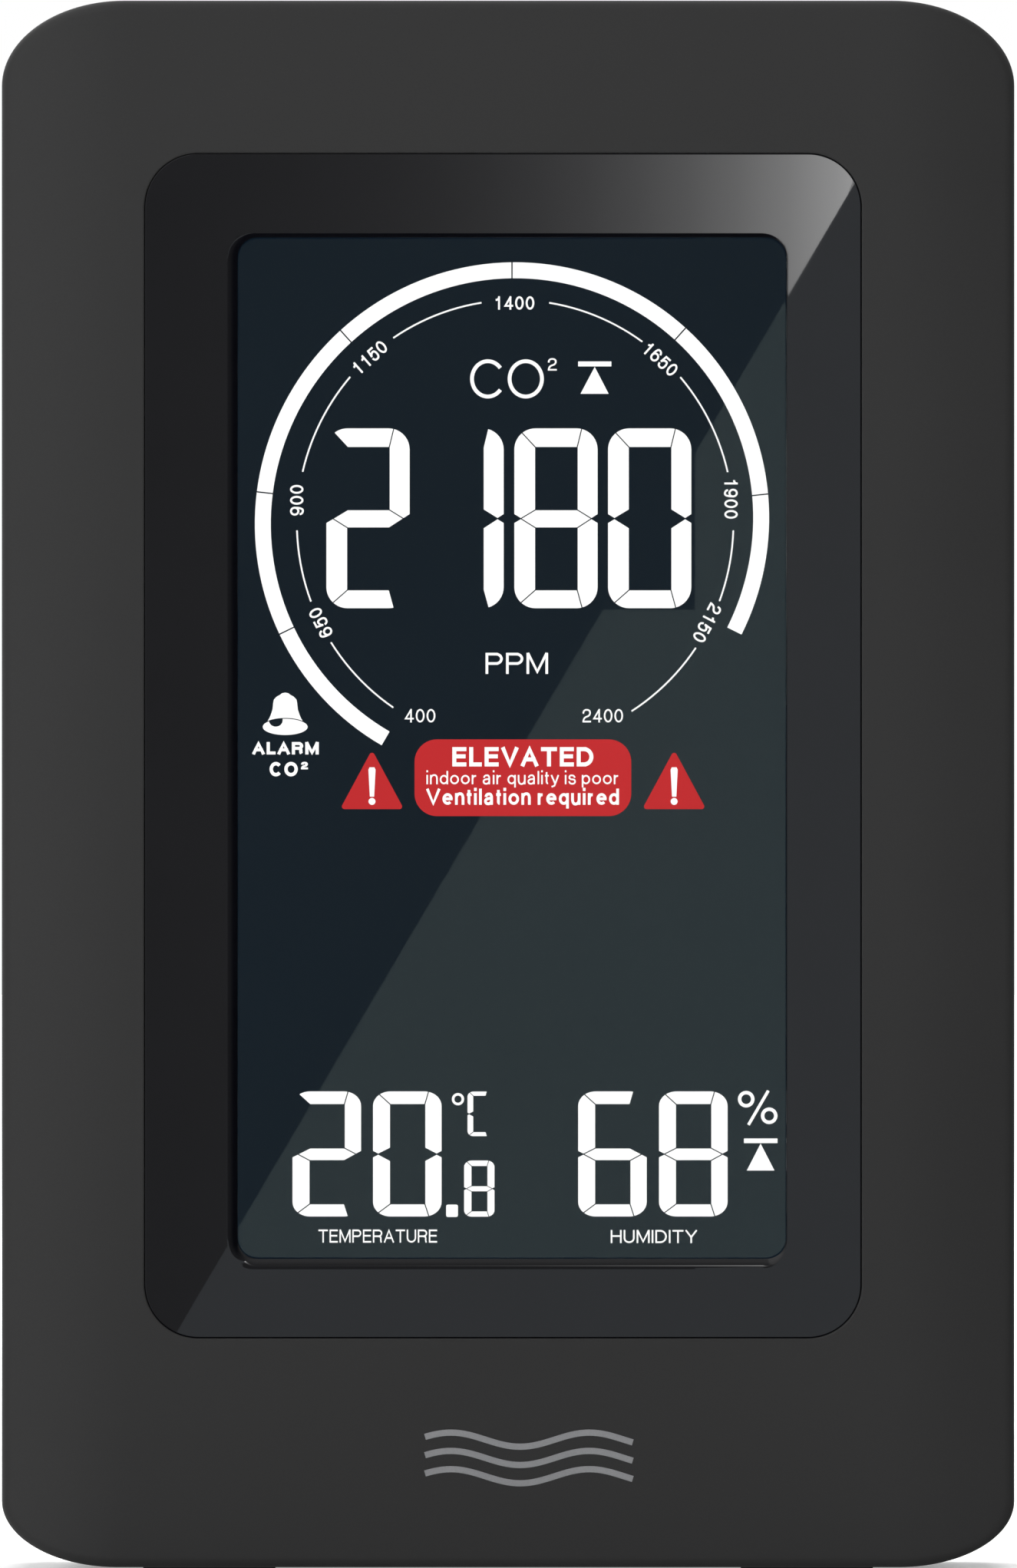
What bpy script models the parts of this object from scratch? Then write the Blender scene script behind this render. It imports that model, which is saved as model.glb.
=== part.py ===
"""Desk carbon dioxide monitor: a slim upright case with a glossy display panel, built as it comes apart.

The case stands on Z = 0 and is centred on X and Y. It faces -Y, +Z is up and +X is on the
viewer's right. Every length is in metres.
"""

import math

import bmesh
import bpy
from mathutils import Matrix, Vector

MM = 0.001

# ---- Driving dimensions ----------------------------------------------------------------------
CASE_WIDTH = 122.0 * MM
CASE_HEIGHT = 188.6 * MM
CASE_DEPTH = 28.0 * MM
PAD_PROUD = 0.4 * MM
WALL = 2.2 * MM
TOUCH_GAP = 0.15 * MM
TOP_CORNER = (14.8 * MM, 10.2 * MM)
BOTTOM_CORNER = (13.9 * MM, 7.9 * MM)
CORNER_STEPS = 12

FRONT_Y = -CASE_DEPTH / 2
REAR_Y = CASE_DEPTH / 2
SEAM_Y = -3.0 * MM
SEAM_GAP = 0.3 * MM
CASE_MID_Z = PAD_PROUD + CASE_HEIGHT / 2

# The front rolls back towards the left and right sides, outside a flat middle.
CROWN_FLAT = 46.0 * MM
CROWN_DROP = 2.2 * MM
FRONT_FILLET = 1.2 * MM

PANEL_SIZE = (86.3 * MM, 142.6 * MM)
PANEL_CENTRE = (-0.6 * MM, PAD_PROUD + 98.9 * MM)
PANEL_CORNER = 6.5 * MM
PANEL_RECESS = 0.2 * MM
PANEL_BEVEL = 0.25 * MM
PANEL_THICK = 1.1 * MM

WINDOW_SIZE = (66.0 * MM, 122.9 * MM)
WINDOW_CENTRE = (0.46 * MM, PAD_PROUD + 98.61 * MM)
WINDOW_CORNER = 2.4 * MM
WINDOW_LIP = 0.9 * MM
LENS_THICK = 1.2 * MM

STAND_PIVOT = (0.0, 11.2 * MM, 72.0 * MM)
STAND_HALF = 18.0 * MM
STAND_THICK = 2.6 * MM
STAND_FOOT_Z = 7.4 * MM
BARREL_R = 2.4 * MM
PIN_R = 1.0 * MM

BUTTON_Z = 96.0 * MM
BUTTON_PITCH = 16.0 * MM
BUTTON_SIZE = (9.0 * MM, 5.0 * MM)
BUTTON_NAMES = ("mode", "up", "down", "alarm")

BOARD_SIZE = (104.0 * MM, 147.0 * MM)
BOARD_THICK = 1.6 * MM
BOARD_MID_Z = 94.5 * MM
BOARD_REAR_Y = 0.0

CASE_SCREWS = [(x * MM, z * MM) for z in (14.0, 175.0) for x in (-50.0, 50.0)]
BOARD_SCREWS = [(x * MM, z * MM) for z in (27.0, 162.0) for x in (-47.0, 47.0)]

JACK_Y = 5.4 * MM
JACK_Z = 42.0 * MM
JACK_BORE_R = 3.15 * MM
JACK_HOLE_R = 4.75 * MM

CO2_CENTRE = (6.0 * MM, 143.0 * MM)
KEYHOLE_Z = 165.0 * MM
PLATE_SIZE = (44.0 * MM, 14.0 * MM)
PLATE_Z = 112.0 * MM

# Front frame: the ledge the panel lies on, the rebate at the seam, and the posts inside.
LEDGE_WIDTH = 2.0 * MM
LEDGE_Y = FRONT_Y + 1.5 * MM
LEDGE_BACK_Y = FRONT_Y + 2.4 * MM
REBATE_DEPTH = 1.15 * MM
REBATE_Y = SEAM_Y - 2.1 * MM
FRAME_BACK_Y = SEAM_Y - SEAM_GAP / 2
OPENING_ROUND = 0.3 * MM
POST_ROOT_Y = FRONT_Y + 2.0 * MM
CASE_POST_R = 3.5 * MM
CASE_POST_TIP_Y = -0.3 * MM
CASE_PILOT_R = 1.35 * MM
CASE_PILOT_Y = (-9.0 * MM, 1.0 * MM)
BOARD_POST_R = 3.0 * MM
BOARD_PILOT_R = 1.1 * MM
BOARD_PILOT_Y = (-8.0 * MM, 0.0)
FACE_SHARES = (0.12, 0.28, 0.46, 0.68, 1.0)

# Display: lens, gasket, the stack of sheets behind it, and the tray that holds them.
LENS_Y = FRONT_Y + PANEL_RECESS + PANEL_THICK + 0.2 * MM
LENS_MARGIN = 3.0 * MM
GASKET_THICK = 0.5 * MM
GASKET_OUTER = ((35.5 * MM, 64.0 * MM), 2.6 * MM)
GASKET_INNER = ((33.6 * MM, 62.1 * MM), 1.2 * MM)
STACK = (
    # name, size, first and last depth behind the front plane, drop below the window's middle, finish,
    # all in millimetres
    ("front_polarizer", (70.0, 127.0), (3.5, 3.7), 0.0, "polarizer_film"),
    ("lcd_glass_front", (71.0, 128.0), (3.85, 4.65), 0.0, "lcd_glass"),
    ("lcd_glass_rear", (71.0, 132.0), (4.8, 5.6), 2.0, "lcd_glass"),
    ("rear_polarizer", (70.0, 126.0), (5.75, 5.95), 0.0, "polarizer_film"),
    ("diffuser_sheet", (72.0, 126.0), (6.1, 6.4), 0.0, "white_film"),
    ("light_guide", (72.0, 126.0), (6.55, 9.05), 0.0, "clear_acrylic"),
    ("reflector_sheet", (72.0, 126.0), (9.2, 9.35), 0.0, "white_film"),
)
CARRIER_WALL = 1.8 * MM
CARRIER_CAVITY = (74.0 * MM, 135.0 * MM)
CARRIER_CORNER = 2.0 * MM
CAVITY_CORNER = 0.6 * MM
CARRIER_MID_Z = 98.0 * MM
CARRIER_Y = (FRONT_Y + 3.6 * MM, FRONT_Y + 9.5 * MM, FRONT_Y + 10.4 * MM)
ZEBRA_Z = 33.5 * MM
ZEBRA_SIZE = (60.0 * MM, 2.0 * MM)
ZEBRA_SLOT = (62.0 * MM, 2.8 * MM)
ZEBRA_FRONT_Y = FRONT_Y + 5.75 * MM
LED_HALF = 34.0 * MM
LED_Y = (FRONT_Y + 6.7 * MM, FRONT_Y + 9.0 * MM)
LED_Z = (162.5 * MM, 164.5 * MM)

# Main board. Every length in the two tables is in millimetres.
BOARD_HOLE_R = 1.3 * MM
BOARD_HOLE_Y = (-3.0 * MM, 1.0 * MM)
BLOCKS = (
    # name, across, up, height, centre, finish
    ("microcontroller", 12.0, 12.0, 1.4, (-22.0, 118.0), "black_epoxy"),
    ("lcd_driver", 10.0, 10.0, 1.2, (20.0, 62.0), "black_epoxy"),
    ("crystal_can", 11.0, 4.5, 3.5, (-5.0, 118.0), "steel"),
    ("power_inductor", 7.0, 7.0, 4.0, (38.0, 74.0), "black_epoxy"),
    ("sensor_header", 16.0, 2.5, 2.5, (6.0, 135.0), "black_epoxy"),
)
CANS = (
    # name, (height, radius) pairs, centre, finish, sides
    ("filter_capacitor", ((0.0, 4.0), (10.0, 4.0), (10.5, 3.5)), (38.0, 60.0), "steel", 16),
    ("buzzer", ((0.0, 6.0), (8.0, 6.0), (8.5, 5.5)), (-38.0, 130.0), "black_epoxy", 20),
)
JACK_X = (43.8 * MM, 57.0 * MM)
JACK_HALF_Z = 4.5 * MM
JACK_BACK_Y = JACK_Y + 4.6 * MM
JACK_BORE_DEPTH = 9.5 * MM
JACK_PIN_R = 1.0 * MM
JACK_HOLE_X = (56.0 * MM, 63.0 * MM)

# Gas sensor on its own small board, and the humidity sensor beside the side vents.
SENSOR_BOARD_Y = (2.8 * MM, 4.0 * MM)
SENSOR_BOARD_SIZE = (38.0 * MM, 24.0 * MM)
CHAMBER_SIZE = (30.0 * MM, 16.0 * MM)
CHAMBER_HEIGHT = 6.5 * MM
FILTER_SIZE = (14.0 * MM, 8.0 * MM)
FILTER_DEPTH = 0.8 * MM
MEMBRANE_SIZE = (13.4 * MM, 7.4 * MM)
MEMBRANE_TOP = 0.6 * MM
SEAL_OUTER = ((18.6 * MM, 11.6 * MM), 2.0 * MM)
SEAL_INNER = ((15.8 * MM, 8.8 * MM), 1.0 * MM)
SEAL_TOP_Y = 11.0 * MM
HUMIDITY_BOARD = ((-51.0 * MM, BOARD_REAR_Y + TOUCH_GAP, 43.0 * MM), (-50.0 * MM, 9.5 * MM, 57.0 * MM))
HUMIDITY_SENSOR = ((-52.3 * MM, 3.5 * MM, 48.5 * MM), (-51.15 * MM, 6.5 * MM, 51.5 * MM))

# Keys and the switches under them.
SWITCH_SIZE = (6.0 * MM, 6.0 * MM)
SWITCH_HEIGHT = 3.5 * MM
SWITCH_WELL_R = 1.95 * MM
SWITCH_WELL_FLOOR_Y = 2.2 * MM
PLUNGER_R = 1.75 * MM
PLUNGER_Y = (3.0 * MM, 5.0 * MM)
BUTTON_TOP_Y = REAR_Y - 0.6 * MM
BUTTON_EASE = 0.35 * MM
BUTTON_CROWN = 0.6 * MM
BUTTON_FLANGE = 1.0 * MM
BUTTON_FLANGE_Y = (9.8 * MM, 10.7 * MM)
BUTTON_STEM = (1.6 * MM, 1.6 * MM)
BUTTON_FOOT_Y = 5.2 * MM
BUTTON_CLEAR = 0.4 * MM
BUTTON_WALL_Y = 11.0 * MM
KEY_POCKET_Y = REAR_Y - 1.2 * MM
KEY_POCKET_SIZE = (3 * BUTTON_PITCH + 15.0 * MM, 10.0 * MM)

# Fold-out stand, its hinge pin and the pocket it closes into.
LEG_Y = (REAR_Y - 0.7 * MM - STAND_THICK, REAR_Y - 0.7 * MM)
LEG_TOP_CORNER = (0.5 * MM, 0.5 * MM)
LEG_FOOT_CORNER = (4.0 * MM, 4.0 * MM)
LEG_RISE = 0.6 * MM
LEG_EASE = 0.4 * MM
LEG_PANEL_SIZE = (2 * STAND_HALF - 9.0 * MM, 46.0 * MM)
LEG_PANEL_Z = 38.0 * MM
LEG_PANEL_DEPTH = 0.6 * MM
PIN_HALF = STAND_HALF + 3.4 * MM
PIN_CLEAR = 0.1 * MM
STAND_PAD_HALF = 12.0 * MM
STAND_PAD_INSET = 0.4 * MM
STAND_PAD_Z = (STAND_FOOT_Z - 1.0 * MM, STAND_FOOT_Z - TOUCH_GAP)
POCKET_CLEAR = 0.4 * MM
POCKET_HALF = STAND_HALF + POCKET_CLEAR
POCKET_FLOOR_Y = LEG_Y[0] - 0.5 * MM
POCKET_Z = (STAND_FOOT_Z - 1.6 * MM, STAND_PIVOT[2] + 1.0 * MM)
HINGE_REACH = BARREL_R + 0.5 * MM
HINGE_FLOOR_Y = STAND_PIVOT[1] - HINGE_REACH
NOTCH_FLOOR_Y = 9.2 * MM
NOTCH_Z = (18.0 * MM, 34.0 * MM)
NOTCH_REACH = POCKET_HALF + 9.0 * MM

# Rear cover.
COVER_FRONT_Y = SEAM_Y + SEAM_GAP / 2
TONGUE = (1.35 * MM, 2.3 * MM)
TONGUE_TIP_Y = SEAM_Y - 1.9 * MM
SIDE_DRAFT = ((4.0 * MM, 0.3 * MM), (10.5 * MM, 0.9 * MM))
REAR_ROUND = (3.2 * MM, 3.5 * MM)
INNER_WALL = (
    # depth, and how far inside the tongue's inner side
    (SIDE_DRAFT[0][0], 0.3 * MM),
    (SIDE_DRAFT[1][0] - 0.7 * MM, 0.9 * MM),
    (REAR_Y - WALL - 0.7 * MM, 1.6 * MM),
    (REAR_Y - WALL, 3.1 * MM),
)
BACKING_Y = REAR_Y - 1.5 * MM
BACKING_WALL = 1.6 * MM
LEG_BACKING_Z = (4.6 * MM, 68.0 * MM)
HINGE_BACKING_HALF = POCKET_HALF + 4.6 * MM
HINGE_BACKING_Z = (66.0 * MM, 77.5 * MM)
KEY_BACKING_HALF = 1.5 * BUTTON_PITCH + 8.5 * MM
KEY_BACKING_Z = (90.0 * MM, 102.0 * MM)
BEYOND_Y = REAR_Y + 1.0 * MM
SLEEVE_R = 4.5 * MM
WELL_R = 3.1 * MM
WELL_FLOOR_Y = 5.0 * MM
SHAFT_R = 1.5 * MM
SHAFT_Y = (-1.0 * MM, 6.0 * MM)
VENT_HEIGHT = 1.8 * MM
VENT_PITCH = 4.2 * MM
VENT_Y = (REAR_Y - 4.0 * MM, BEYOND_Y)
UPPER_VENT = (46.0 * MM, 127.0 * MM, 8)
LOWER_VENT = (14.0 * MM, 60.0 * MM, 5)
LOWER_VENT_X = 42.0 * MM
SIDE_VENT_X = (-63.0 * MM, -56.0 * MM)
SIDE_VENT_Y = (1.5 * MM, 8.5 * MM)
SIDE_VENT_Z = (41.5 * MM, 45.5 * MM, 49.5 * MM, 53.5 * MM, 57.5 * MM)
KEYHOLE_ENTRY_R = 4.2 * MM
KEYHOLE_SLOT = (4.6 * MM, 10.6 * MM)
KEYHOLE_RISE = 3.5 * MM
PLATE_FLOOR_Y = REAR_Y - 0.5 * MM
PLATE_Y = (PLATE_FLOOR_Y + 0.1 * MM, PLATE_FLOOR_Y + 0.4 * MM)
PLATE_CLEAR = 0.5 * MM
SCREEN_SIZE = (52.0 * MM, 36.0 * MM)
SCREEN_Y = (REAR_Y - WALL - 0.6 * MM, REAR_Y - WALL - 0.2 * MM)
SCREEN_Z = 141.7 * MM

# Base pads and screws. The screws' profiles are (distance along Y, radius), in millimetres.
PAD_X = 36.0 * MM
PAD_LENGTH = 16.0 * MM
PAD_TOP_Z = 1.0 * MM
PAD_FRONT_Y = (-11.2 * MM, -5.6 * MM)
PAD_REAR_Y = (0.0, 7.0 * MM)
PAD_CLEAR = 0.2 * MM
CASE_SCREW = ((-8.3, 0.7), (-7.3, 1.15), (5.2, 1.15), (5.2, 2.6), (6.6, 2.6), (7.2, 2.1))
BOARD_SCREW = ((-6.5, 0.5), (-5.8, 0.85), (0.15, 0.85), (0.15, 2.2), (1.6, 2.2))
CROSS = (1.7 * MM, 0.35 * MM)
CROSS_Y = (6.2 * MM, 8.0 * MM)


# ---- Scene and materials ---------------------------------------------------------------------
def clear_scene():
    for obj in list(bpy.data.objects):
        bpy.data.objects.remove(obj, do_unlink=True)


def material(name, colour, roughness, metallic=0.0, alpha=1.0):
    found = bpy.data.materials.get(name)
    if found:
        return found
    made = bpy.data.materials.new(name)
    made.use_nodes = True
    shader = made.node_tree.nodes["Principled BSDF"]
    shader.inputs["Base Color"].default_value = (*colour, 1.0)
    shader.inputs["Roughness"].default_value = roughness
    shader.inputs["Metallic"].default_value = metallic
    shader.inputs["Alpha"].default_value = alpha
    made.diffuse_color = (*colour, alpha)
    return made


FINISHES = {
    "satin_plastic": ((0.039, 0.039, 0.040), 0.55),
    "gloss_black": ((0.012, 0.012, 0.013), 0.06),
    "clear_acrylic": ((0.80, 0.84, 0.86), 0.03, 0.0, 0.35),
    "black_foam": ((0.015, 0.015, 0.015), 0.95),
    "polarizer_film": ((0.012, 0.020, 0.028), 0.15),
    "lcd_glass": ((0.55, 0.62, 0.62), 0.05, 0.0, 0.4),
    "white_film": ((0.85, 0.85, 0.86), 0.40),
    "white_plastic": ((0.80, 0.80, 0.78), 0.45),
    "green_board": ((0.02, 0.16, 0.07), 0.45),
    "black_epoxy": ((0.02, 0.02, 0.02), 0.60),
    "steel": ((0.56, 0.56, 0.57), 0.30, 1.0),
    "dark_rubber": ((0.020, 0.020, 0.021), 0.80),
    "zebra_rubber": ((0.18, 0.16, 0.15), 0.70),
    "gold_plate": ((0.78, 0.57, 0.22), 0.30, 1.0),
    "screen_mesh": ((0.06, 0.06, 0.06), 0.80),
    "label_film": ((0.45, 0.45, 0.46), 0.50),
}


def finish(obj, name):
    obj.data.materials.append(material(name, *FINISHES[name]))
    return obj


# ---- Mesh helpers ----------------------------------------------------------------------------
def arc(centre, radii, start, end, steps):
    """Points of an elliptical arc from start to end, in degrees."""
    points = []
    for step in range(steps + 1):
        turn = math.radians(start + (end - start) * step / steps)
        points.append((centre[0] + radii[0] * math.cos(turn), centre[1] + radii[1] * math.sin(turn)))
    return points


def rectangle(half, top, bottom=None, steps=3, centre=(0.0, 0.0)):
    """A rectangle with elliptical corners, anticlockwise from its right side, as (across, up) points."""
    bottom = bottom or top
    corners = (
        (1, 1, top, 0),
        (-1, 1, top, 90),
        (-1, -1, bottom, 180),
        (1, -1, bottom, 270),
    )
    points = []
    for side_x, side_z, radii, start in corners:
        middle = (
            centre[0] + side_x * (half[0] - radii[0]),
            centre[1] + side_z * (half[1] - radii[1]),
        )
        points += arc(middle, radii, start, start + 90, steps)
    return points


def blend(first, second, share):
    """Points part of the way from one outline to another."""
    return [
        (a[0] + (b[0] - a[0]) * share, a[1] + (b[1] - a[1]) * share)
        for a, b in zip(first, second)
    ]


def new_object(name, bm, location, smooth=True):
    bmesh.ops.recalc_face_normals(bm, faces=bm.faces)
    mesh = bpy.data.meshes.new(name)
    bm.to_mesh(mesh)
    bm.free()
    if smooth:
        mesh.shade_smooth()
        mesh.set_sharp_from_angle(angle=math.radians(32))
    obj = bpy.data.objects.new(name, mesh)
    obj.location = location
    bpy.context.scene.collection.objects.link(obj)
    return obj


def loft(name, rings, finish_name=None, closed=False, location=(0.0, 0.0, 0.0)):
    """A solid skinned over rings of (x, y, z) points: a tube that closes on itself, or one with end caps."""
    bm = bmesh.new()
    rows = [[bm.verts.new(Vector(point)) for point in ring] for ring in rings]
    pairs = list(zip(rows, rows[1:]))
    if closed:
        pairs.append((rows[-1], rows[0]))
    else:
        bm.faces.new(rows[0])
        bm.faces.new(rows[-1])
    for row, following in pairs:
        for index, vert in enumerate(row):
            after = (index + 1) % len(row)
            bm.faces.new((vert, row[after], following[after], following[index]))
    obj = new_object(name, bm, location)
    return finish(obj, finish_name) if finish_name else obj


def flat_ring(outline, y):
    return [(x, y, z) for x, z in outline]


def plate(name, size, y_range, centre, finish_name=None, corner=0.0005, steps=2):
    """A flat rounded plate facing Y. Its origin is at its own middle."""
    outline = rectangle((size[0] / 2, size[1] / 2), (corner, corner), steps=steps)
    half = (y_range[1] - y_range[0]) / 2
    rings = [flat_ring(outline, -half), flat_ring(outline, half)]
    middle = (centre[0], (y_range[0] + y_range[1]) / 2, centre[1])
    return loft(name, rings, finish_name, location=middle)


def box(name, low, high, finish_name=None):
    """A plain block between two corners, with its origin at its middle."""
    bm = bmesh.new()
    bmesh.ops.create_cube(bm, size=1.0)
    size = [top - bottom for bottom, top in zip(low, high)]
    bmesh.ops.scale(bm, vec=size, verts=bm.verts)
    middle = [(top + bottom) / 2 for bottom, top in zip(low, high)]
    obj = new_object(name, bm, middle, smooth=False)
    return finish(obj, finish_name) if finish_name else obj


def rod(name, profile, location, finish_name=None, axis="Y", sides=16):
    """A turned solid: profile holds (distance along the axis, radius) from one end to the other."""
    turn = {"Y": Matrix.Identity(3), "X": Matrix.Rotation(math.radians(-90), 3, "Z")}[axis]
    rings = []
    for along, radius in profile:
        circle = arc((0.0, 0.0), (radius, radius), 0, 360 - 360 / sides, sides - 1)
        rings.append([turn @ Vector((x, along, z)) for x, z in circle])
    return loft(name, rings, finish_name, location=location)


def boolean(target, other, operation):
    change = target.modifiers.new(f"{operation.lower()}_{other.name}", "BOOLEAN")
    change.object = other
    change.operation = operation
    change.solver = "EXACT"
    other.hide_render = True
    other.display_type = "WIRE"


def cut(target, *cutters):
    for cutter in cutters:
        boolean(target, cutter, "DIFFERENCE")


def weld(target, *pieces):
    for piece in pieces:
        boolean(target, piece, "UNION")


def merged(name, objects):
    """Joins helpers that don't touch each other into one helper, so that one Boolean takes them all."""
    bm = bmesh.new()
    for obj in objects:
        shape = obj.data.copy()
        shape.transform(Matrix.Translation(obj.location))
        bm.from_mesh(shape)
        bpy.data.meshes.remove(shape)
        bpy.data.objects.remove(obj, do_unlink=True)
    return new_object(name, bm, (0.0, 0.0, 0.0), smooth=False)


def columns(name, places, radius, y_range, sides=16):
    """One round column along Y at each (x, z) place, together as one helper."""
    profile = [(y, radius) for y in y_range]
    shapes = [rod(f"{name}_{i}", profile, (x, 0.0, z), sides=sides) for i, (x, z) in enumerate(places)]
    return merged(name, shapes)


def foam_wall(name, outer, inner, y_range, centre):
    """A foam ring between two rounded rectangles, each given as (half size, corner)."""
    outside, inside = (rectangle(half, (corner, corner)) for half, corner in (outer, inner))
    rings = [flat_ring(outside, y_range[0]), flat_ring(outside, y_range[1])]
    rings += [flat_ring(inside, y_range[1]), flat_ring(inside, y_range[0])]
    loft(name, rings, "black_foam", closed=True, location=(centre[0], 0.0, centre[1]))


def in_metres(profile):
    return [(along * MM, radius * MM) for along, radius in profile]


# ---- Case outline ----------------------------------------------------------------------------
def case_outline(inset):
    """The case's outline as seen from the front, moved in by inset."""
    top = tuple(max(radius - inset, 1.0 * MM) for radius in TOP_CORNER)
    bottom = tuple(max(radius - inset, 1.0 * MM) for radius in BOTTOM_CORNER)
    half = (CASE_WIDTH / 2 - inset, CASE_HEIGHT / 2 - inset)
    return rectangle(half, top, bottom, CORNER_STEPS, (0.0, CASE_MID_Z))


def panel_outline(inset):
    half = (PANEL_SIZE[0] / 2 - inset, PANEL_SIZE[1] / 2 - inset)
    radius = PANEL_CORNER - inset
    return rectangle(half, (radius, radius), steps=CORNER_STEPS, centre=PANEL_CENTRE)


def window_outline(inset):
    half = (WINDOW_SIZE[0] / 2 - inset, WINDOW_SIZE[1] / 2 - inset)
    radius = WINDOW_CORNER - inset
    return rectangle(half, (radius, radius), steps=CORNER_STEPS, centre=WINDOW_CENTRE)


def front_y(x):
    """Depth of the crowned front surface at this distance from the middle."""
    beyond = max(abs(x) - CROWN_FLAT, 0.0) / (CASE_WIDTH / 2 - CROWN_FLAT)
    return FRONT_Y + CROWN_DROP * beyond**2


def crowned_ring(outline, behind=0.0):
    return [(x, front_y(x) + behind, z) for x, z in outline]


# ---- Front frame -----------------------------------------------------------------------------
def frame_rings():
    rings = [flat_ring(case_outline(0.0), FRAME_BACK_Y)]
    for degrees in (0, 22.5, 45, 67.5, 90):
        turn = math.radians(degrees)
        inset = FRONT_FILLET * (1 - math.cos(turn))
        rings.append(crowned_ring(case_outline(inset), FRONT_FILLET * (1 - math.sin(turn))))
    rim = panel_outline(-OPENING_ROUND)
    for share in FACE_SHARES:
        rings.append(crowned_ring(blend(case_outline(FRONT_FILLET), rim, share)))
    for degrees in (45, 90):
        turn = math.radians(degrees)
        outline = panel_outline(-OPENING_ROUND * (1 - math.sin(turn)))
        rings.append(flat_ring(outline, FRONT_Y + OPENING_ROUND * (1 - math.cos(turn))))
    rings.append(flat_ring(panel_outline(0.0), LEDGE_Y))
    rings.append(flat_ring(panel_outline(LEDGE_WIDTH), LEDGE_Y))
    rings.append(flat_ring(panel_outline(LEDGE_WIDTH), LEDGE_BACK_Y))
    rings.append(crowned_ring(case_outline(WALL), WALL))
    rings.append(flat_ring(case_outline(WALL), REBATE_Y))
    rings.append(flat_ring(case_outline(REBATE_DEPTH), REBATE_Y))
    rings.append(flat_ring(case_outline(REBATE_DEPTH), FRAME_BACK_Y))
    return rings


def front_frame():
    frame = loft("front_frame", frame_rings(), "satin_plastic", closed=True)
    board_tip_y = BOARD_REAR_Y - BOARD_THICK - TOUCH_GAP
    weld(frame, columns("case_posts", CASE_SCREWS, CASE_POST_R, (POST_ROOT_Y, CASE_POST_TIP_Y)))
    weld(frame, columns("board_posts", BOARD_SCREWS, BOARD_POST_R, (POST_ROOT_Y, board_tip_y)))
    cut(frame, columns("case_pilots", CASE_SCREWS, CASE_PILOT_R, CASE_PILOT_Y, 12))
    cut(frame, columns("board_pilots", BOARD_SCREWS, BOARD_PILOT_R, BOARD_PILOT_Y, 12))
    cut(frame, pad_pockets("front_pad_pockets", PAD_FRONT_Y))


# ---- Display panel, lens and liquid crystal cell ------------------------------------------------
def display_surround():
    """The glossy panel: bevelled outer edge, flat face, and a rounded lip down to the lens."""
    face_y = FRONT_Y + PANEL_RECESS
    back_y = face_y + PANEL_THICK
    rings = [flat_ring(panel_outline(TOUCH_GAP), back_y)]
    for degrees in (0, 30, 60, 90):
        turn = math.radians(degrees)
        inset = TOUCH_GAP + PANEL_BEVEL * (1 - math.cos(turn))
        rings.append(flat_ring(panel_outline(inset), face_y + PANEL_BEVEL * (1 - math.sin(turn))))
    for degrees in (0, 22.5, 45, 67.5, 90):
        turn = math.radians(degrees)
        grow = WINDOW_LIP * (1 - math.sin(turn))
        rings.append(flat_ring(window_outline(-grow), face_y + WINDOW_LIP * (1 - math.cos(turn))))
    rings.append(flat_ring(window_outline(0.0), back_y))
    loft("display_surround", rings, "gloss_black", closed=True)


def lens_and_cell():
    lens_size = [side + 2 * LENS_MARGIN for side in WINDOW_SIZE]
    lens_back = LENS_Y + LENS_THICK
    plate("display_lens", lens_size, (LENS_Y, lens_back), WINDOW_CENTRE, "clear_acrylic", LENS_MARGIN, 4)

    gasket_y = (lens_back + TOUCH_GAP, lens_back + TOUCH_GAP + GASKET_THICK)
    foam_wall("lens_gasket", GASKET_OUTER, GASKET_INNER, gasket_y, WINDOW_CENTRE)

    for name, size, depths, drop, finish_name in STACK:
        depth = [FRONT_Y + value * MM for value in depths]
        centre = (WINDOW_CENTRE[0], WINDOW_CENTRE[1] - drop * MM)
        plate(name, (size[0] * MM, size[1] * MM), depth, centre, finish_name)


def display_carrier():
    """White tray behind the cell, with a slot in its floor for the contact strip."""
    front_y, floor_y, back_y = CARRIER_Y
    outer_size = [side + 2 * CARRIER_WALL for side in CARRIER_CAVITY]
    outer = rectangle([side / 2 for side in outer_size], (CARRIER_CORNER, CARRIER_CORNER))
    cavity = rectangle([side / 2 for side in CARRIER_CAVITY], (CAVITY_CORNER, CAVITY_CORNER))
    rings = [flat_ring(cavity, floor_y), flat_ring(cavity, front_y)]
    rings += [flat_ring(outer, front_y), flat_ring(outer, back_y)]
    place = (WINDOW_CENTRE[0], 0.0, CARRIER_MID_Z)
    carrier = loft("display_carrier", rings, "white_plastic", location=place)
    middle = (WINDOW_CENTRE[0], ZEBRA_Z)
    cut(carrier, plate("zebra_slot", ZEBRA_SLOT, (floor_y - 1.0 * MM, back_y + 1.0 * MM), middle))
    strip_back = BOARD_REAR_Y - BOARD_THICK - TOUCH_GAP
    plate("zebra_connector", ZEBRA_SIZE, (ZEBRA_FRONT_Y, strip_back), middle, "zebra_rubber")
    led_low = (WINDOW_CENTRE[0] - LED_HALF, LED_Y[0], LED_Z[0])
    led_high = (WINDOW_CENTRE[0] + LED_HALF, LED_Y[1], LED_Z[1])
    box("backlight_led_strip", led_low, led_high, "white_plastic")


# ---- Main board and what is soldered on it --------------------------------------------------------
def on_board(size_x, size_z, height, centre):
    """Corners of a block that sits on the board's rear side."""
    y_low = BOARD_REAR_Y + TOUCH_GAP
    low = (centre[0] - size_x / 2, y_low, centre[1] - size_z / 2)
    high = (centre[0] + size_x / 2, y_low + height, centre[1] + size_z / 2)
    return low, high


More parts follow.
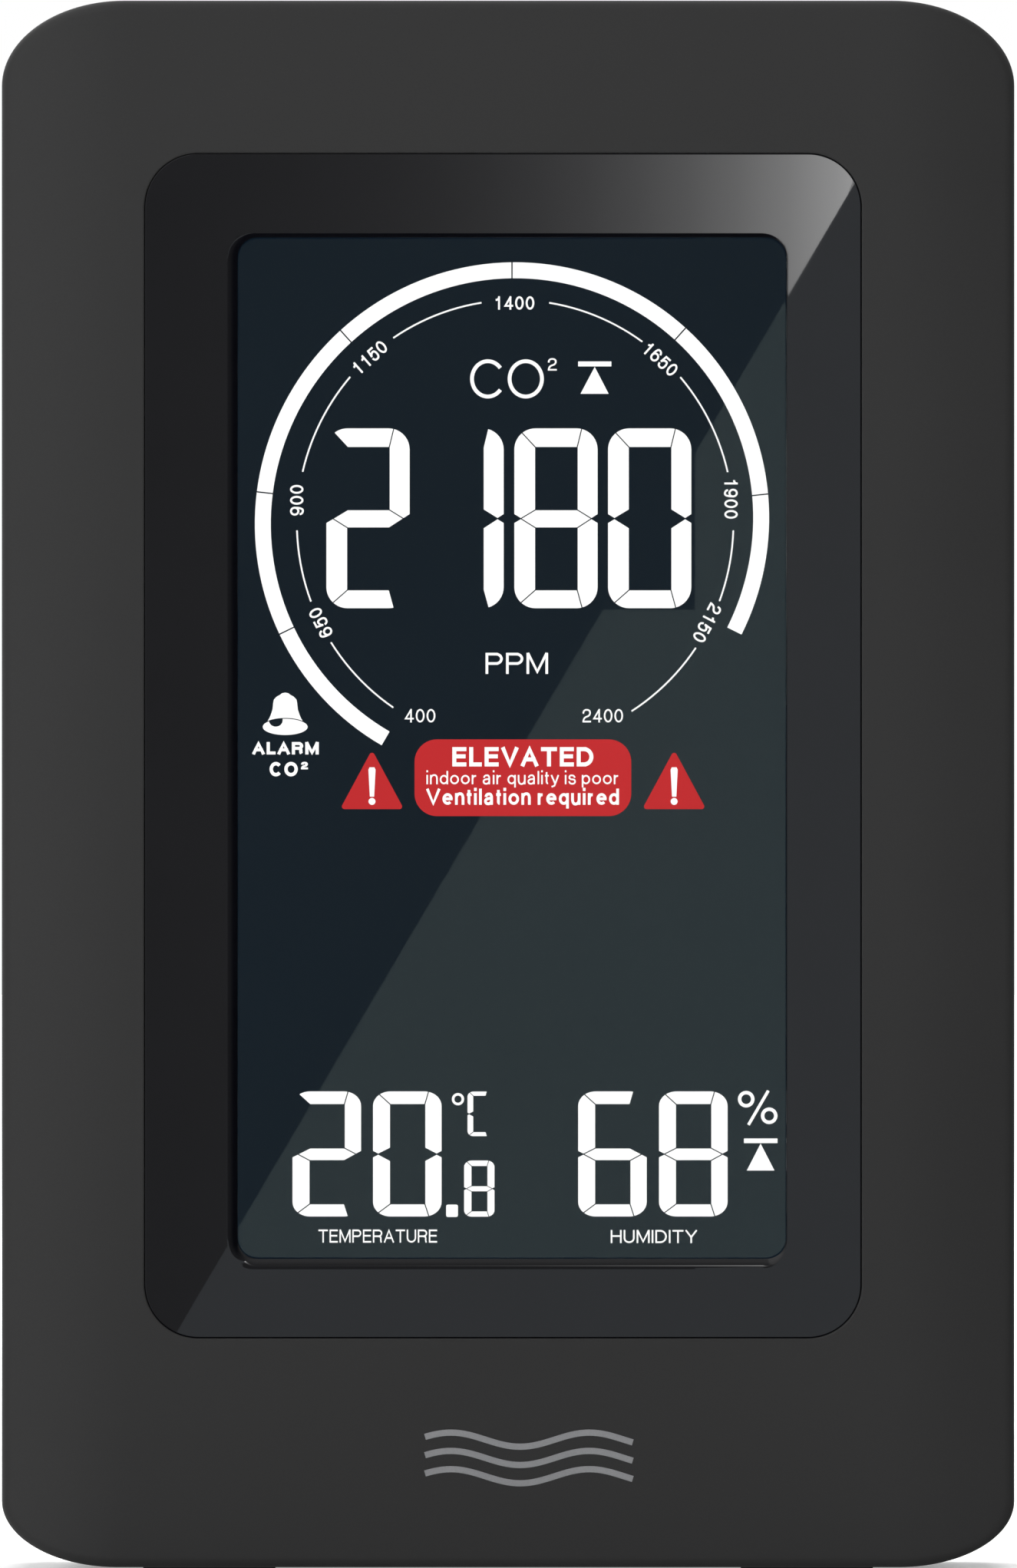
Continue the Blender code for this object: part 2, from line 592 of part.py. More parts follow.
def main_board():
    board = plate(
        "main_board",
        BOARD_SIZE,
        (BOARD_REAR_Y - BOARD_THICK, BOARD_REAR_Y),
        (0.0, BOARD_MID_Z),
        "green_board",
        2.0 * MM,
    )
    cut(board, columns("board_holes", BOARD_SCREWS, BOARD_HOLE_R, BOARD_HOLE_Y, 12))
    for name, across, up, height, centre, finish_name in BLOCKS:
        middle = (centre[0] * MM, centre[1] * MM)
        box(name, *on_board(across * MM, up * MM, height * MM, middle), finish_name)

    for name, profile, centre, finish_name, sides in CANS:
        place = (centre[0] * MM, BOARD_REAR_Y + TOUCH_GAP, centre[1] * MM)
        rod(name, in_metres(profile), place, finish_name, sides=sides)


def dc_jack():
    """Barrel inlet facing +X: a block with a blind bore, and its centre pin."""
    back_x, face_x = JACK_X
    low = (back_x, BOARD_REAR_Y + TOUCH_GAP, JACK_Z - JACK_HALF_Z)
    high = (face_x, JACK_BACK_Y, JACK_Z + JACK_HALF_Z)
    jack = box("dc_jack", low, high, "black_epoxy")
    bore_bottom = face_x - JACK_BORE_DEPTH
    bore = [(bore_bottom, JACK_BORE_R), (face_x + 1.0 * MM, JACK_BORE_R)]
    cut(jack, rod("jack_bore", bore, (0.0, JACK_Y, JACK_Z), axis="X", sides=20))
    tip = face_x - 1.0 * MM
    pin = [(bore_bottom + TOUCH_GAP, JACK_PIN_R), (tip - 0.5 * MM, JACK_PIN_R), (tip, 0.6 * JACK_PIN_R)]
    rod("dc_jack_pin", pin, (0.0, JACK_Y, JACK_Z), "steel", axis="X", sides=12)


def gas_sensor():
    """Infrared gas sensor on its own small board, with a foam wall round it and a filter on top."""
    plate("co2_sensor_board", SENSOR_BOARD_SIZE, SENSOR_BOARD_Y, CO2_CENTRE, "green_board", 1.0 * MM)
    foot = SENSOR_BOARD_Y[1] + TOUCH_GAP
    top = foot + CHAMBER_HEIGHT
    chamber = plate("co2_sensor_chamber", CHAMBER_SIZE, (foot, top), CO2_CENTRE, "gold_plate", 1.5 * MM)
    floor_y = top - FILTER_DEPTH
    recess_y = (floor_y, top + 1.0 * MM)
    cut(chamber, plate("filter_recess", FILTER_SIZE, recess_y, CO2_CENTRE, corner=1.0 * MM))
    film_y = (floor_y + TOUCH_GAP, floor_y + MEMBRANE_TOP)
    plate("co2_sensor_membrane", MEMBRANE_SIZE, film_y, CO2_CENTRE, "white_film", 0.8 * MM)
    foam_wall("sensor_seal", SEAL_OUTER, SEAL_INNER, (foot, SEAL_TOP_Y), CO2_CENTRE)


def humidity_sensor():
    """A little board on edge beside the side vents, with the sensor on its outer face."""
    box("humidity_sensor_board", *HUMIDITY_BOARD, "green_board")
    box("humidity_sensor", *HUMIDITY_SENSOR, "black_epoxy")


# ---- Push buttons and their switches ---------------------------------------------------------------
def button_x(index):
    return (index - (len(BUTTON_NAMES) - 1) / 2) * BUTTON_PITCH


def switch(name, x):
    foot = BOARD_REAR_Y + TOUCH_GAP
    top = foot + SWITCH_HEIGHT
    body = plate(f"tact_switch_{name}", SWITCH_SIZE, (foot, top), (x, BUTTON_Z), "black_epoxy")
    well_y = (SWITCH_WELL_FLOOR_Y, top + 1.0 * MM)
    cut(body, columns(f"switch_well_{name}", [(x, BUTTON_Z)], SWITCH_WELL_R, well_y, 12))
    stem = [(y, PLUNGER_R) for y in PLUNGER_Y]
    rod(f"switch_plunger_{name}", stem, (x, 0.0, BUTTON_Z), "white_plastic", sides=12)


def button(name, x):
    """A key with its stem and its retaining flange in one piece. Its origin is on its travel axis."""
    half = (BUTTON_SIZE[0] / 2, BUTTON_SIZE[1] / 2)
    flange = [side + BUTTON_FLANGE for side in half]
    crown = [side - BUTTON_CROWN for side in half]
    flange_low, flange_high = BUTTON_FLANGE_Y
    sections = (
        # depth, half size, corner
        (BUTTON_FOOT_Y, BUTTON_STEM, 0.8 * MM),
        (flange_low, BUTTON_STEM, 0.8 * MM),
        (flange_low, flange, 2.2 * MM),
        (flange_high, flange, 2.2 * MM),
        (flange_high, half, 1.9 * MM),
        (BUTTON_TOP_Y - BUTTON_EASE, half, 1.9 * MM),
        (BUTTON_TOP_Y, crown, 1.4 * MM),
    )
    rings = [
        flat_ring(rectangle(size, (radius, radius), steps=3), y - BUTTON_TOP_Y)
        for y, size, radius in sections
    ]
    loft(f"button_{name}", rings, "dark_rubber", location=(x, BUTTON_TOP_Y, BUTTON_Z))


def buttons():
    for index, name in enumerate(BUTTON_NAMES):
        switch(name, button_x(index))
        button(name, button_x(index))


# ---- Fold-out stand ----------------------------------------------------------------------------------
def stand():
    """A flat leg hung from a barrel. Its origin is on the hinge axis."""
    pivot_y, pivot_z = STAND_PIVOT[1:]
    foot = STAND_FOOT_Z - pivot_z
    half = (STAND_HALF, (LEG_RISE - foot) / 2)
    outline = rectangle(half, LEG_TOP_CORNER, LEG_FOOT_CORNER, 4, (0.0, (LEG_RISE + foot) / 2))
    share = 1 - LEG_EASE / STAND_HALF
    smaller = [(x * share, z + (LEG_EASE if z < foot / 2 else 0.0)) for x, z in outline]
    rings = [
        flat_ring(outline, LEG_Y[0] - pivot_y),
        flat_ring(outline, LEG_Y[1] - LEG_EASE - pivot_y),
        flat_ring(smaller, LEG_Y[1] - pivot_y),
    ]
    leg = loft("stand", rings, "satin_plastic", location=STAND_PIVOT)
    barrel = [(-STAND_HALF, BARREL_R), (STAND_HALF, BARREL_R)]
    weld(leg, rod("stand_barrel", barrel, STAND_PIVOT, axis="X", sides=20))
    reach = STAND_HALF + 1.0 * MM
    bore = [(-reach, PIN_R + PIN_CLEAR), (reach, PIN_R + PIN_CLEAR)]
    cut(leg, rod("stand_bore", bore, STAND_PIVOT, axis="X", sides=16))
    panel_y = (LEG_Y[1] - LEG_PANEL_DEPTH, BEYOND_Y)
    cut(leg, plate("leg_panel", LEG_PANEL_SIZE, panel_y, (0.0, LEG_PANEL_Z), corner=3.0 * MM, steps=3))
    rod("stand_pin", [(-PIN_HALF, PIN_R), (PIN_HALF, PIN_R)], STAND_PIVOT, "steel", axis="X")
    low = (-STAND_PAD_HALF, LEG_Y[0] + STAND_PAD_INSET, STAND_PAD_Z[0])
    high = (STAND_PAD_HALF, LEG_Y[1] - STAND_PAD_INSET, STAND_PAD_Z[1])
    pad = box("stand_pad", low, high, "dark_rubber")
    pad.location = Vector(pad.location) - Vector(STAND_PIVOT)
    pad.parent = leg


# ---- Rear cover ---------------------------------------------------------------------------------------
def cover_rings():
    rings = [flat_ring(case_outline(0.0), COVER_FRONT_Y)]
    rings += [flat_ring(case_outline(inset), y) for y, inset in SIDE_DRAFT]
    last_y, last_inset = SIDE_DRAFT[-1]
    for degrees in (22.5, 45, 67.5, 90):
        turn = math.radians(degrees)
        inset = last_inset + REAR_ROUND[0] * (1 - math.cos(turn))
        rings.append(flat_ring(case_outline(inset), last_y + REAR_ROUND[1] * math.sin(turn)))
    rings.reverse()
    rings.append(flat_ring(case_outline(TONGUE[0]), COVER_FRONT_Y))
    rings.append(flat_ring(case_outline(TONGUE[0]), TONGUE_TIP_Y))
    rings.append(flat_ring(case_outline(TONGUE[1]), TONGUE_TIP_Y))
    rings += [flat_ring(case_outline(TONGUE[1] + inset), y) for y, inset in INNER_WALL]
    return rings


def cover_backing():
    """Extra thickness inside the rear wall, behind the stand, its hinge, the finger notch and the keys."""
    half = POCKET_HALF + BACKING_WALL
    leg_low = (-half, POCKET_FLOOR_Y - BACKING_WALL, LEG_BACKING_Z[0])
    hinge_low = (-HINGE_BACKING_HALF, HINGE_FLOOR_Y - BACKING_WALL, HINGE_BACKING_Z[0])
    hinge_high = (HINGE_BACKING_HALF, BACKING_Y, HINGE_BACKING_Z[1])
    notch_low = (0.0, NOTCH_FLOOR_Y - BACKING_WALL, NOTCH_Z[0] - BACKING_WALL)
    notch_high = (NOTCH_REACH + BACKING_WALL, BACKING_Y, NOTCH_Z[1] + BACKING_WALL)
    key_low = (-KEY_BACKING_HALF, BUTTON_WALL_Y, KEY_BACKING_Z[0])
    return (
        box("leg_backing", leg_low, (half, BACKING_Y, LEG_BACKING_Z[1])),
        box("hinge_backing", hinge_low, hinge_high),
        box("notch_backing", notch_low, notch_high),
        box("key_backing", key_low, (KEY_BACKING_HALF, BACKING_Y, KEY_BACKING_Z[1])),
    )


def stand_pocket():
    leg_size = (2 * POCKET_HALF, POCKET_Z[1] - POCKET_Z[0])
    leg_middle = (0.0, sum(POCKET_Z) / 2)
    leg_y = (POCKET_FLOOR_Y, BEYOND_Y)
    leg = plate("stand_pocket", leg_size, leg_y, leg_middle, corner=2.0 * MM, steps=4)
    hinge_low = (-POCKET_HALF, HINGE_FLOOR_Y, STAND_PIVOT[2] - HINGE_REACH - 1.0 * MM)
    hinge = box("hinge_pocket", hinge_low, (POCKET_HALF, BEYOND_Y, STAND_PIVOT[2] + HINGE_REACH))
    notch_start = POCKET_HALF - 1.0 * MM
    notch_size = (NOTCH_REACH - notch_start, NOTCH_Z[1] - NOTCH_Z[0])
    notch_middle = ((NOTCH_REACH + notch_start) / 2, sum(NOTCH_Z) / 2)
    notch_y = (NOTCH_FLOOR_Y, BEYOND_Y)
    notch = plate("finger_notch", notch_size, notch_y, notch_middle, corner=4.0 * MM, steps=5)
    pin_reach = PIN_HALF + TOUCH_GAP
    bore = [(-pin_reach, PIN_R + TOUCH_GAP), (pin_reach, PIN_R + TOUCH_GAP)]
    pin_hole = rod("pin_hole", bore, STAND_PIVOT, axis="X", sides=16)
    return leg, hinge, notch, pin_hole


def slot_row(name, row, x):
    """Round-ended slots one above the other, through the rear wall."""
    width, lowest, count = row
    corner = VENT_HEIGHT / 2 - 0.01 * MM
    return [
        plate(f"{name}_{i}", (width, VENT_HEIGHT), VENT_Y, (x, lowest + i * VENT_PITCH), corner=corner, steps=3)
        for i in range(count)
    ]


def vents():
    slots = slot_row("vent", UPPER_VENT, 0.0)
    slots += slot_row("vent_left", LOWER_VENT, -LOWER_VENT_X)
    slots += slot_row("vent_right", LOWER_VENT, LOWER_VENT_X)
    for index, z in enumerate(SIDE_VENT_Z):
        low = (SIDE_VENT_X[0], SIDE_VENT_Y[0], z)
        high = (SIDE_VENT_X[1], SIDE_VENT_Y[1], z + VENT_HEIGHT)
        slots.append(box(f"vent_side_{index}", low, high))
    return merged("vent_slots", slots)


def keyhole():
    """Entry for a wall screw's head with a narrower slot above it."""
    middle = (0.0, KEYHOLE_Z + KEYHOLE_RISE)
    slot = plate("keyhole_slot", KEYHOLE_SLOT, VENT_Y, middle, corner=2.2 * MM, steps=4)
    return columns("keyhole_entry", [(0.0, KEYHOLE_Z)], KEYHOLE_ENTRY_R, VENT_Y, 20), slot


def key_openings():
    """The shallow pocket round the row of keys, and the hole for each of them."""
    pocket_y = (KEY_POCKET_Y, BEYOND_Y)
    pocket = plate("key_pocket", KEY_POCKET_SIZE, pocket_y, (0.0, BUTTON_Z), corner=4.9 * MM, steps=6)
    size = [side + BUTTON_CLEAR for side in BUTTON_SIZE]
    hole_y = (BUTTON_WALL_Y - 1.0 * MM, BEYOND_Y)
    holes = [
        plate(f"key_hole_{i}", size, hole_y, (button_x(i), BUTTON_Z), corner=2.1 * MM, steps=3)
        for i in range(len(BUTTON_NAMES))
    ]
    return pocket, merged("key_holes", holes)


def rear_cover():
    cover = loft("rear_cover", cover_rings(), "satin_plastic")
    weld(cover, *cover_backing())
    weld(cover, columns("screw_sleeves", CASE_SCREWS, SLEEVE_R, (0.0, BACKING_Y), 20))
    cut(cover, columns("screw_wells", CASE_SCREWS, WELL_R, (WELL_FLOOR_Y, BEYOND_Y), 20))
    cut(cover, columns("screw_shafts", CASE_SCREWS, SHAFT_R, SHAFT_Y, 12))
    cut(cover, *stand_pocket())
    cut(cover, *key_openings())
    cut(cover, vents())
    cut(cover, *keyhole())
    recess_y = (PLATE_FLOOR_Y, BEYOND_Y)
    cut(cover, plate("plate_recess", PLATE_SIZE, recess_y, (0.0, PLATE_Z), corner=1.5 * MM))
    jack_hole = [(x, JACK_HOLE_R) for x in JACK_HOLE_X]
    cut(cover, rod("jack_hole", jack_hole, (0.0, JACK_Y, JACK_Z), axis="X", sides=24))
    cut(cover, pad_pockets("rear_pad_pockets", PAD_REAR_Y))


def plate_and_screen():
    """The rating plate in its recess, and the dust screen inside the upper vents."""
    label = [side - PLATE_CLEAR for side in PLATE_SIZE]
    plate("rating_plate", label, PLATE_Y, (0.0, PLATE_Z), "label_film", 1.3 * MM)
    plate("vent_screen", SCREEN_SIZE, SCREEN_Y, (0.0, SCREEN_Z), "screen_mesh", 1.0 * MM)


# ---- Base pads and fasteners ----------------------------------------------------------------------------
def pad_box(name, side, y_range, grow, top_z, bottom_z, finish_name=None):
    middle = side * PAD_X
    low = (middle - PAD_LENGTH / 2 - grow, y_range[0] - grow, bottom_z)
    high = (middle + PAD_LENGTH / 2 + grow, y_range[1] + grow, top_z)
    return box(name, low, high, finish_name)


def pad_pockets(name, y_range):
    top_z = PAD_TOP_Z + PAD_CLEAR
    shapes = [pad_box(f"{name}_{side}", side, y_range, PAD_CLEAR, top_z, -1.0 * MM) for side in (-1, 1)]
    return merged(name, shapes)


def base_pads():
    for place, y_range in (("front", PAD_FRONT_Y), ("rear", PAD_REAR_Y)):
        for hand, side in (("left", -1), ("right", 1)):
            pad_box(f"base_pad_{place}_{hand}", side, y_range, 0.0, PAD_TOP_Z, 0.0, "dark_rubber")


def screws():
    """Pan-head screws along Y: head at +Y, tip at -Y, a crossed recess in the ones that show."""
    for index, (x, z) in enumerate(CASE_SCREWS):
        screw = rod(f"case_screw_{index + 1}", in_metres(CASE_SCREW), (x, 0.0, z), "steel")
        for number, (half_x, half_z) in enumerate((CROSS, CROSS[::-1])):
            low = (x - half_x, CROSS_Y[0], z - half_z)
            high = (x + half_x, CROSS_Y[1], z + half_z)
            cut(screw, box(f"cross_{index + 1}_{number}", low, high))
    for index, (x, z) in enumerate(BOARD_SCREWS):
        rod(f"board_screw_{index + 1}", in_metres(BOARD_SCREW), (x, 0.0, z), "steel", sides=12)


# ---- Assembly --------------------------------------------------------------------------------------------
def assembly_root():
    """An empty at the middle of the footprint that carries every piece."""
    root = bpy.data.objects.new("co2_monitor", None)
    bpy.context.scene.collection.objects.link(root)
    for obj in bpy.context.scene.objects:
        if obj is not root and obj.parent is None:
            obj.parent = root


def main():
    clear_scene()
    front_frame()
    display_surround()
    lens_and_cell()
    display_carrier()
    main_board()
    dc_jack()
    gas_sensor()
    humidity_sensor()
    buttons()
    stand()
    rear_cover()
    plate_and_screen()
    base_pads()
    screws()
    assembly_root()


main()
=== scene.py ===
"""Looks for the desk carbon dioxide monitor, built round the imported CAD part.

Lengths are in millimetres, and become metres where a mesh, a texture or the camera is made. Only the
lights and the floor's glow are given in metres. +X is the viewer's right, the display faces -Y and +Z
is up.
"""

import math

import bmesh
import bpy
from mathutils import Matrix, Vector


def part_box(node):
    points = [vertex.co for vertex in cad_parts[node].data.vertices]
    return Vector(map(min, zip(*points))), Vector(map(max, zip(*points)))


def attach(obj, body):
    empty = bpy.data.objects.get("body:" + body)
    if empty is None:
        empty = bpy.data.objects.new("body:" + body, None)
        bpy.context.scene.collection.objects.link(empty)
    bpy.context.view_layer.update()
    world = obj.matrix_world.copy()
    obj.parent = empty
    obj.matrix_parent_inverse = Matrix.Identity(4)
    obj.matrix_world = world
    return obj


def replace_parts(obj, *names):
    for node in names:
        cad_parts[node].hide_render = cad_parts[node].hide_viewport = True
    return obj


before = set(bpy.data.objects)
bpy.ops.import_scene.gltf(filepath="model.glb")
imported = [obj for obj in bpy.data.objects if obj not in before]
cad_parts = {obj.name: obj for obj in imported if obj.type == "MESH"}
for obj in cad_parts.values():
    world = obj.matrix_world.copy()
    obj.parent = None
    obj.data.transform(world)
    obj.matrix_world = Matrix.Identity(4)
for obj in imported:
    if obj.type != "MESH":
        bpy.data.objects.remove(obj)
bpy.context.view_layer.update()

MM = 0.001
BLACK = (0.0, 0.0, 0.0, 1.0)
WHITE = (1.0, 1.0, 1.0, 1.0)


def box_mm(node):
    low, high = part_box(node)
    return low / MM, high / MM


CASE_LOW, CASE_HIGH = box_mm("front_frame")
PANEL_LOW, PANEL_HIGH = box_mm("display_surround")
CELL_LOW, CELL_HIGH = box_mm("front_polarizer")
FRONT_Y = CASE_LOW.y
REAR_Y = box_mm("rear_cover")[1].y
CELL_X = (CELL_LOW.x + CELL_HIGH.x) / 2
CELL_Z = (CELL_LOW.z + CELL_HIGH.z) / 2

# ---- Shader building ----


def feed(node, inputs):
    """Fills a node's inputs: another node's output is linked, anything else is set."""
    for key, value in inputs.items():
        if isinstance(value, bpy.types.NodeSocket):
            node.id_data.links.new(value, node.inputs[key])
        else:
            node.inputs[key].default_value = value


def add(tree, kind, inputs=None, **settings):
    made = tree.nodes.new(kind)
    for key, value in settings.items():
        setattr(made, key, value)
    feed(made, inputs or {})
    return made


def ramp(tree, factor, stops):
    made = add(tree, "ShaderNodeValToRGB", {"Fac": factor})
    while len(made.color_ramp.elements) < len(stops):
        made.color_ramp.elements.new(0.5)
    for element, (place, colour) in zip(made.color_ramp.elements, stops):
        element.position = place
        element.color = (*colour, 1.0)
    return made.outputs["Color"]


def tones(tree, drift, low, high, start=0.3):
    """A colour that drifts from one tone to another."""
    return ramp(tree, drift, [(start, low), (1 - start, high)])


def place_in(tree):
    return add(tree, "ShaderNodeTexCoord").outputs["Object"]


def noise(tree, where, size, detail=2.0):
    """Noise whose features are about size millimetres across."""
    inputs = {"Vector": where, "Scale": 1.0 / (size * MM), "Detail": detail, "Roughness": 0.5}
    return add(tree, "ShaderNodeTexNoise", inputs).outputs["Fac"]


def rescale(tree, value, low, high, out_low, out_high, smooth=False):
    inputs = {"Value": value, "From Min": low, "From Max": high, "To Min": out_low, "To Max": out_high}
    kind = "SMOOTHSTEP" if smooth else "LINEAR"
    return add(tree, "ShaderNodeMapRange", inputs, interpolation_type=kind).outputs["Result"]


def uneven(tree, drift, low, high):
    """A roughness that drifts between two values."""
    return rescale(tree, drift, 0.3, 0.7, low, high)


def maths(tree, operation, first, second):
    return add(tree, "ShaderNodeMath", {0: first, 1: second}, operation=operation).outputs[0]


def shaded(colour, share):
    return tuple(min(channel * share, 1.0) for channel in colour)


def blank(name):
    made = bpy.data.materials.new(name)
    made.use_nodes = True
    return made, made.node_tree, made.node_tree.nodes["Principled BSDF"]


def drifting(name, size, detail=2.0):
    """A blank material with a slow noise for its small unevenness."""
    made, tree, shader = blank(name)
    return made, tree, shader, noise(tree, place_in(tree), size, detail)


def moulded(name, colour, rough, grain=0.3, bump=0.25, depth=0.012, spread=0.05, blotch=30.0,
            edge=0.0, sockets=None):
    """Moulded or machined surface: fine grain, slow colour drift, uneven sheen, eased edges.

    grain, depth, blotch and edge are sizes in mm, and spread is the share the colour drifts by.
    """
    made, tree, shader = blank(name)
    where = place_in(tree)
    fine = noise(tree, where, grain)
    slow = noise(tree, where, blotch, 3.0)
    mixed = maths(tree, "ADD", maths(tree, "MULTIPLY", fine, 0.6), maths(tree, "MULTIPLY", slow, 0.4))
    relief = {"Height": fine, "Strength": bump, "Distance": depth * MM}
    if edge:
        relief["Normal"] = add(tree, "ShaderNodeBevel", {"Radius": edge * MM}, samples=4).outputs[0]
    feed(shader, {
        "Base Color": tones(tree, mixed, shaded(colour, 1 - spread), shaded(colour, 1 + spread), 0.35),
        "Roughness": uneven(tree, slow, rough - 0.04, rough + 0.04),
        "Normal": add(tree, "ShaderNodeBump", relief).outputs[0],
        **(sockets or {}),
    })
    return made


def glossy_black():
    """Piano black: almost no colour of its own, a mirror sheen with a trace of polishing haze."""
    made, tree, shader, haze = drifting("piano_black", 14.0, 4.0)
    feed(shader, {
        "Base Color": tones(tree, haze, (0.0020, 0.0021, 0.0032), (0.0025, 0.0026, 0.0038), 0.35),
        "Roughness": uneven(tree, haze, 0.004, 0.011),
        "IOR": 1.5,
    })
    return made


def clear(name, ior, tint):
    """Clear plastic or glass, with a trace of uneven tint and polish."""
    made, tree, shader, drift = drifting(name, 25.0)
    feed(shader, {
        "Base Color": tones(tree, drift, shaded(tint, 0.995), tint),
        "Roughness": uneven(tree, drift, 0.0, 0.003),
        "IOR": ior,
        "Transmission Weight": 1.0,
    })
    return made


def cell_film():
    """Dark polarised film: the lit cell shows through it as a deep navy, a little uneven."""
    made, tree, shader, drift = drifting("cell_navy", 45.0)
    feed(shader, {
        "Emission Color": tones(tree, drift, (0.0015, 0.0058, 0.0127), (0.0019, 0.0067, 0.0141)),
        "Emission Strength": 1.0,
        "Base Color": BLACK,
        "IOR": 1.525,
        "Specular Tint": (0.86, 0.98, 0.82, 1.0),
        "Roughness": uneven(tree, drift, 0.004, 0.009),
    })
    return made


def lit(name, colour, strength):
    """A lit segment of the display, with the faint unevenness of its backlight."""
    made, tree, shader, drift = drifting(name, 18.0)
    feed(shader, {
        "Emission Color": tones(tree, drift, shaded(colour, 0.97), colour),
        "Emission Strength": strength,
        "Base Color": BLACK,
        "Specular IOR Level": 0.0,
    })
    return made


def woven(name, colour, pitch):
    """Fine woven filter cloth: two sets of threads in relief, with painted shade where they sink."""
    made, tree, shader = blank(name)
    inputs = {"Vector": place_in(tree), "Scale": 0.314 / (pitch * MM), "Distortion": 0.4}
    waves = [add(tree, "ShaderNodeTexWave", inputs, wave_type="BANDS", bands_direction=way).outputs["Fac"]
             for way in ("X", "Z")]
    height = maths(tree, "MAXIMUM", *waves)
    relief = {"Height": height, "Strength": 0.8, "Distance": 0.15 * MM}
    # The colour falls to a quarter where the threads sink: this is painted shade between the threads.
    feed(shader, {
        "Base Color": tones(tree, height, shaded(colour, 0.25), shaded(colour, 1.2), 0.2),
        "Normal": add(tree, "ShaderNodeBump", relief).outputs[0],
        "Roughness": 0.75,
    })
    return made


SATIN = (0.0232, 0.0232, 0.0234)
FINISH = {
    "satin_plastic": moulded("satin_plastic_grain", SATIN, 0.52, 0.28, 0.3, 0.014, 0.06, 40.0, 0.15,
                             {"Specular IOR Level": 0.36}),
    "gloss_black": glossy_black(),
    "clear_acrylic": clear("lens_acrylic", 1.06, (1.0, 1.0, 1.0)),
    "black_foam": moulded("closed_cell_foam", (0.012, 0.012, 0.012), 0.9, 0.35, 0.9, 0.1, 0.3, 6.0),
    "polarizer_film": cell_film(),
    "lcd_glass": clear("cell_glass", 1.52, (0.93, 0.97, 0.96)),
    "white_film": moulded("diffusing_film", (0.82, 0.82, 0.83), 0.45, 0.2, 0.2, 0.01, 0.02, 20.0),
    "white_plastic": moulded("white_moulding", (0.76, 0.76, 0.74), 0.42, 0.4, 0.2, 0.01, 0.03, 15.0, 0.1),
    "green_board": moulded("solder_mask", (0.015, 0.13, 0.055), 0.32, 1.6, 0.3, 0.03, 0.25, 4.0, 0.1),
    "black_epoxy": moulded("moulded_epoxy", (0.018, 0.018, 0.019), 0.55, 0.15, 0.5, 0.01, 0.15, 5.0, 0.1),
    "steel": moulded("zinc_plated_steel", (0.52, 0.52, 0.53), 0.3, 0.12, 0.3, 0.006, 0.08, 3.0, 0.08,
                     {"Metallic": 1.0}),
    "dark_rubber": moulded("matt_rubber", (0.020, 0.020, 0.021), 0.72, 0.18, 0.5, 0.02, 0.12, 8.0, 0.12),
    "zebra_rubber": moulded("contact_strip", (0.17, 0.15, 0.14), 0.65, 0.2, 0.4, 0.02, 0.2, 2.0),
    "gold_plate": moulded("brushed_gold", (0.74, 0.52, 0.20), 0.28, 0.25, 0.3, 0.006, 0.06, 4.0, 0.1,
                          {"Metallic": 1.0}),
    "screen_mesh": woven("woven_screen", (0.05, 0.05, 0.05), 0.7),
    "label_film": moulded("brushed_label", (0.30, 0.30, 0.31), 0.38, 0.2, 0.25, 0.004, 0.05, 12.0),
    "segment_white": lit("segment_white_light", (1.0, 1.0, 1.0), 1.04),
    "segment_red": lit("segment_red_light", (0.545, 0.030, 0.033), 1.0),
    "print_grey": moulded("pad_print_grey", (0.222, 0.225, 0.233), 0.5, 0.15, 0.2, 0.004, 0.06, 5.0),
}

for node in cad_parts.values():
    named = node.data.materials[0].name.split(".")[0]
    for slot in node.material_slots:
        slot.material = FINISH[named]

# ---- Mesh building ----
SHARP_ANGLE = 34
MITRE_LIMIT = 1.8
OVAL_STEPS = 56


def linked(name, data):
    obj = bpy.data.objects.new(name, data)
    bpy.context.scene.collection.objects.link(obj)
    return obj


def joined(parts):
    """Several (points, faces) parts as one."""
    points, faces = [], []
    for part_points, part_faces in parts:
        start = len(points)
        points += part_points
        faces += [tuple(start + index for index in face) for face in part_faces]
    return points, faces


def outward(bm, mesh):
    """Turns every face outwards and puts the result in the mesh."""
    bmesh.ops.recalc_face_normals(bm, faces=bm.faces)
    bm.to_mesh(mesh)
    bm.free()


def solid(name, parts):
    """An object from (points in mm, faces) parts, closed and facing outwards."""
    mesh = bpy.data.meshes.new(name)
    points, faces = joined(parts)
    mesh.from_pydata([Vector(point) * MM for point in points], [], faces)
    bm = bmesh.new()
    bm.from_mesh(mesh)
    outward(bm, mesh)
    return linked(name, mesh)


def finished(name, parts, slot, body="case", smooth=True):
    """One piece of the model, riding on a body and wearing a finish."""
    obj = solid(name, parts)
    obj.data.materials.append(FINISH[slot])
    if smooth:
        ease(obj)
    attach(obj, body)
    return obj


def ease(obj):
    """Smooth shading that keeps real edges sharp and flat faces flat."""
    obj.data.shade_smooth()
    obj.data.set_sharp_from_angle(angle=math.radians(SHARP_ANGLE))
    weighted = obj.modifiers.new("weighted", "WEIGHTED_NORMAL")
    weighted.keep_sharp = True
    weighted.weight = 80


def loft(rings, closed=False):
    """Skin over rings of points: a tube that closes on itself, or one with end caps."""
    count = len(rings[0])
    points = [point for ring in rings for point in ring]
    faces = []
    for row in range(len(rings) if closed else len(rings) - 1):
        near = row * count
        far = ((row + 1) % len(rings)) * count
        for index in range(count):
            after = (index + 1) % count
            faces.append((near + index, near + after, far + after, far + index))
    if not closed:
        faces.append(tuple(range(count)))
        faces.append(tuple(range(len(points) - count, len(points))))
    return points, faces


def arc(centre, radii, start, end, steps):
    """Points along part of an oval, by angles anticlockwise from the right."""
    turns = [math.radians(start + (end - start) * step / steps) for step in range(steps + 1)]
    return [(centre[0] + radii[0] * math.cos(t), centre[1] + radii[1] * math.sin(t)) for t in turns]


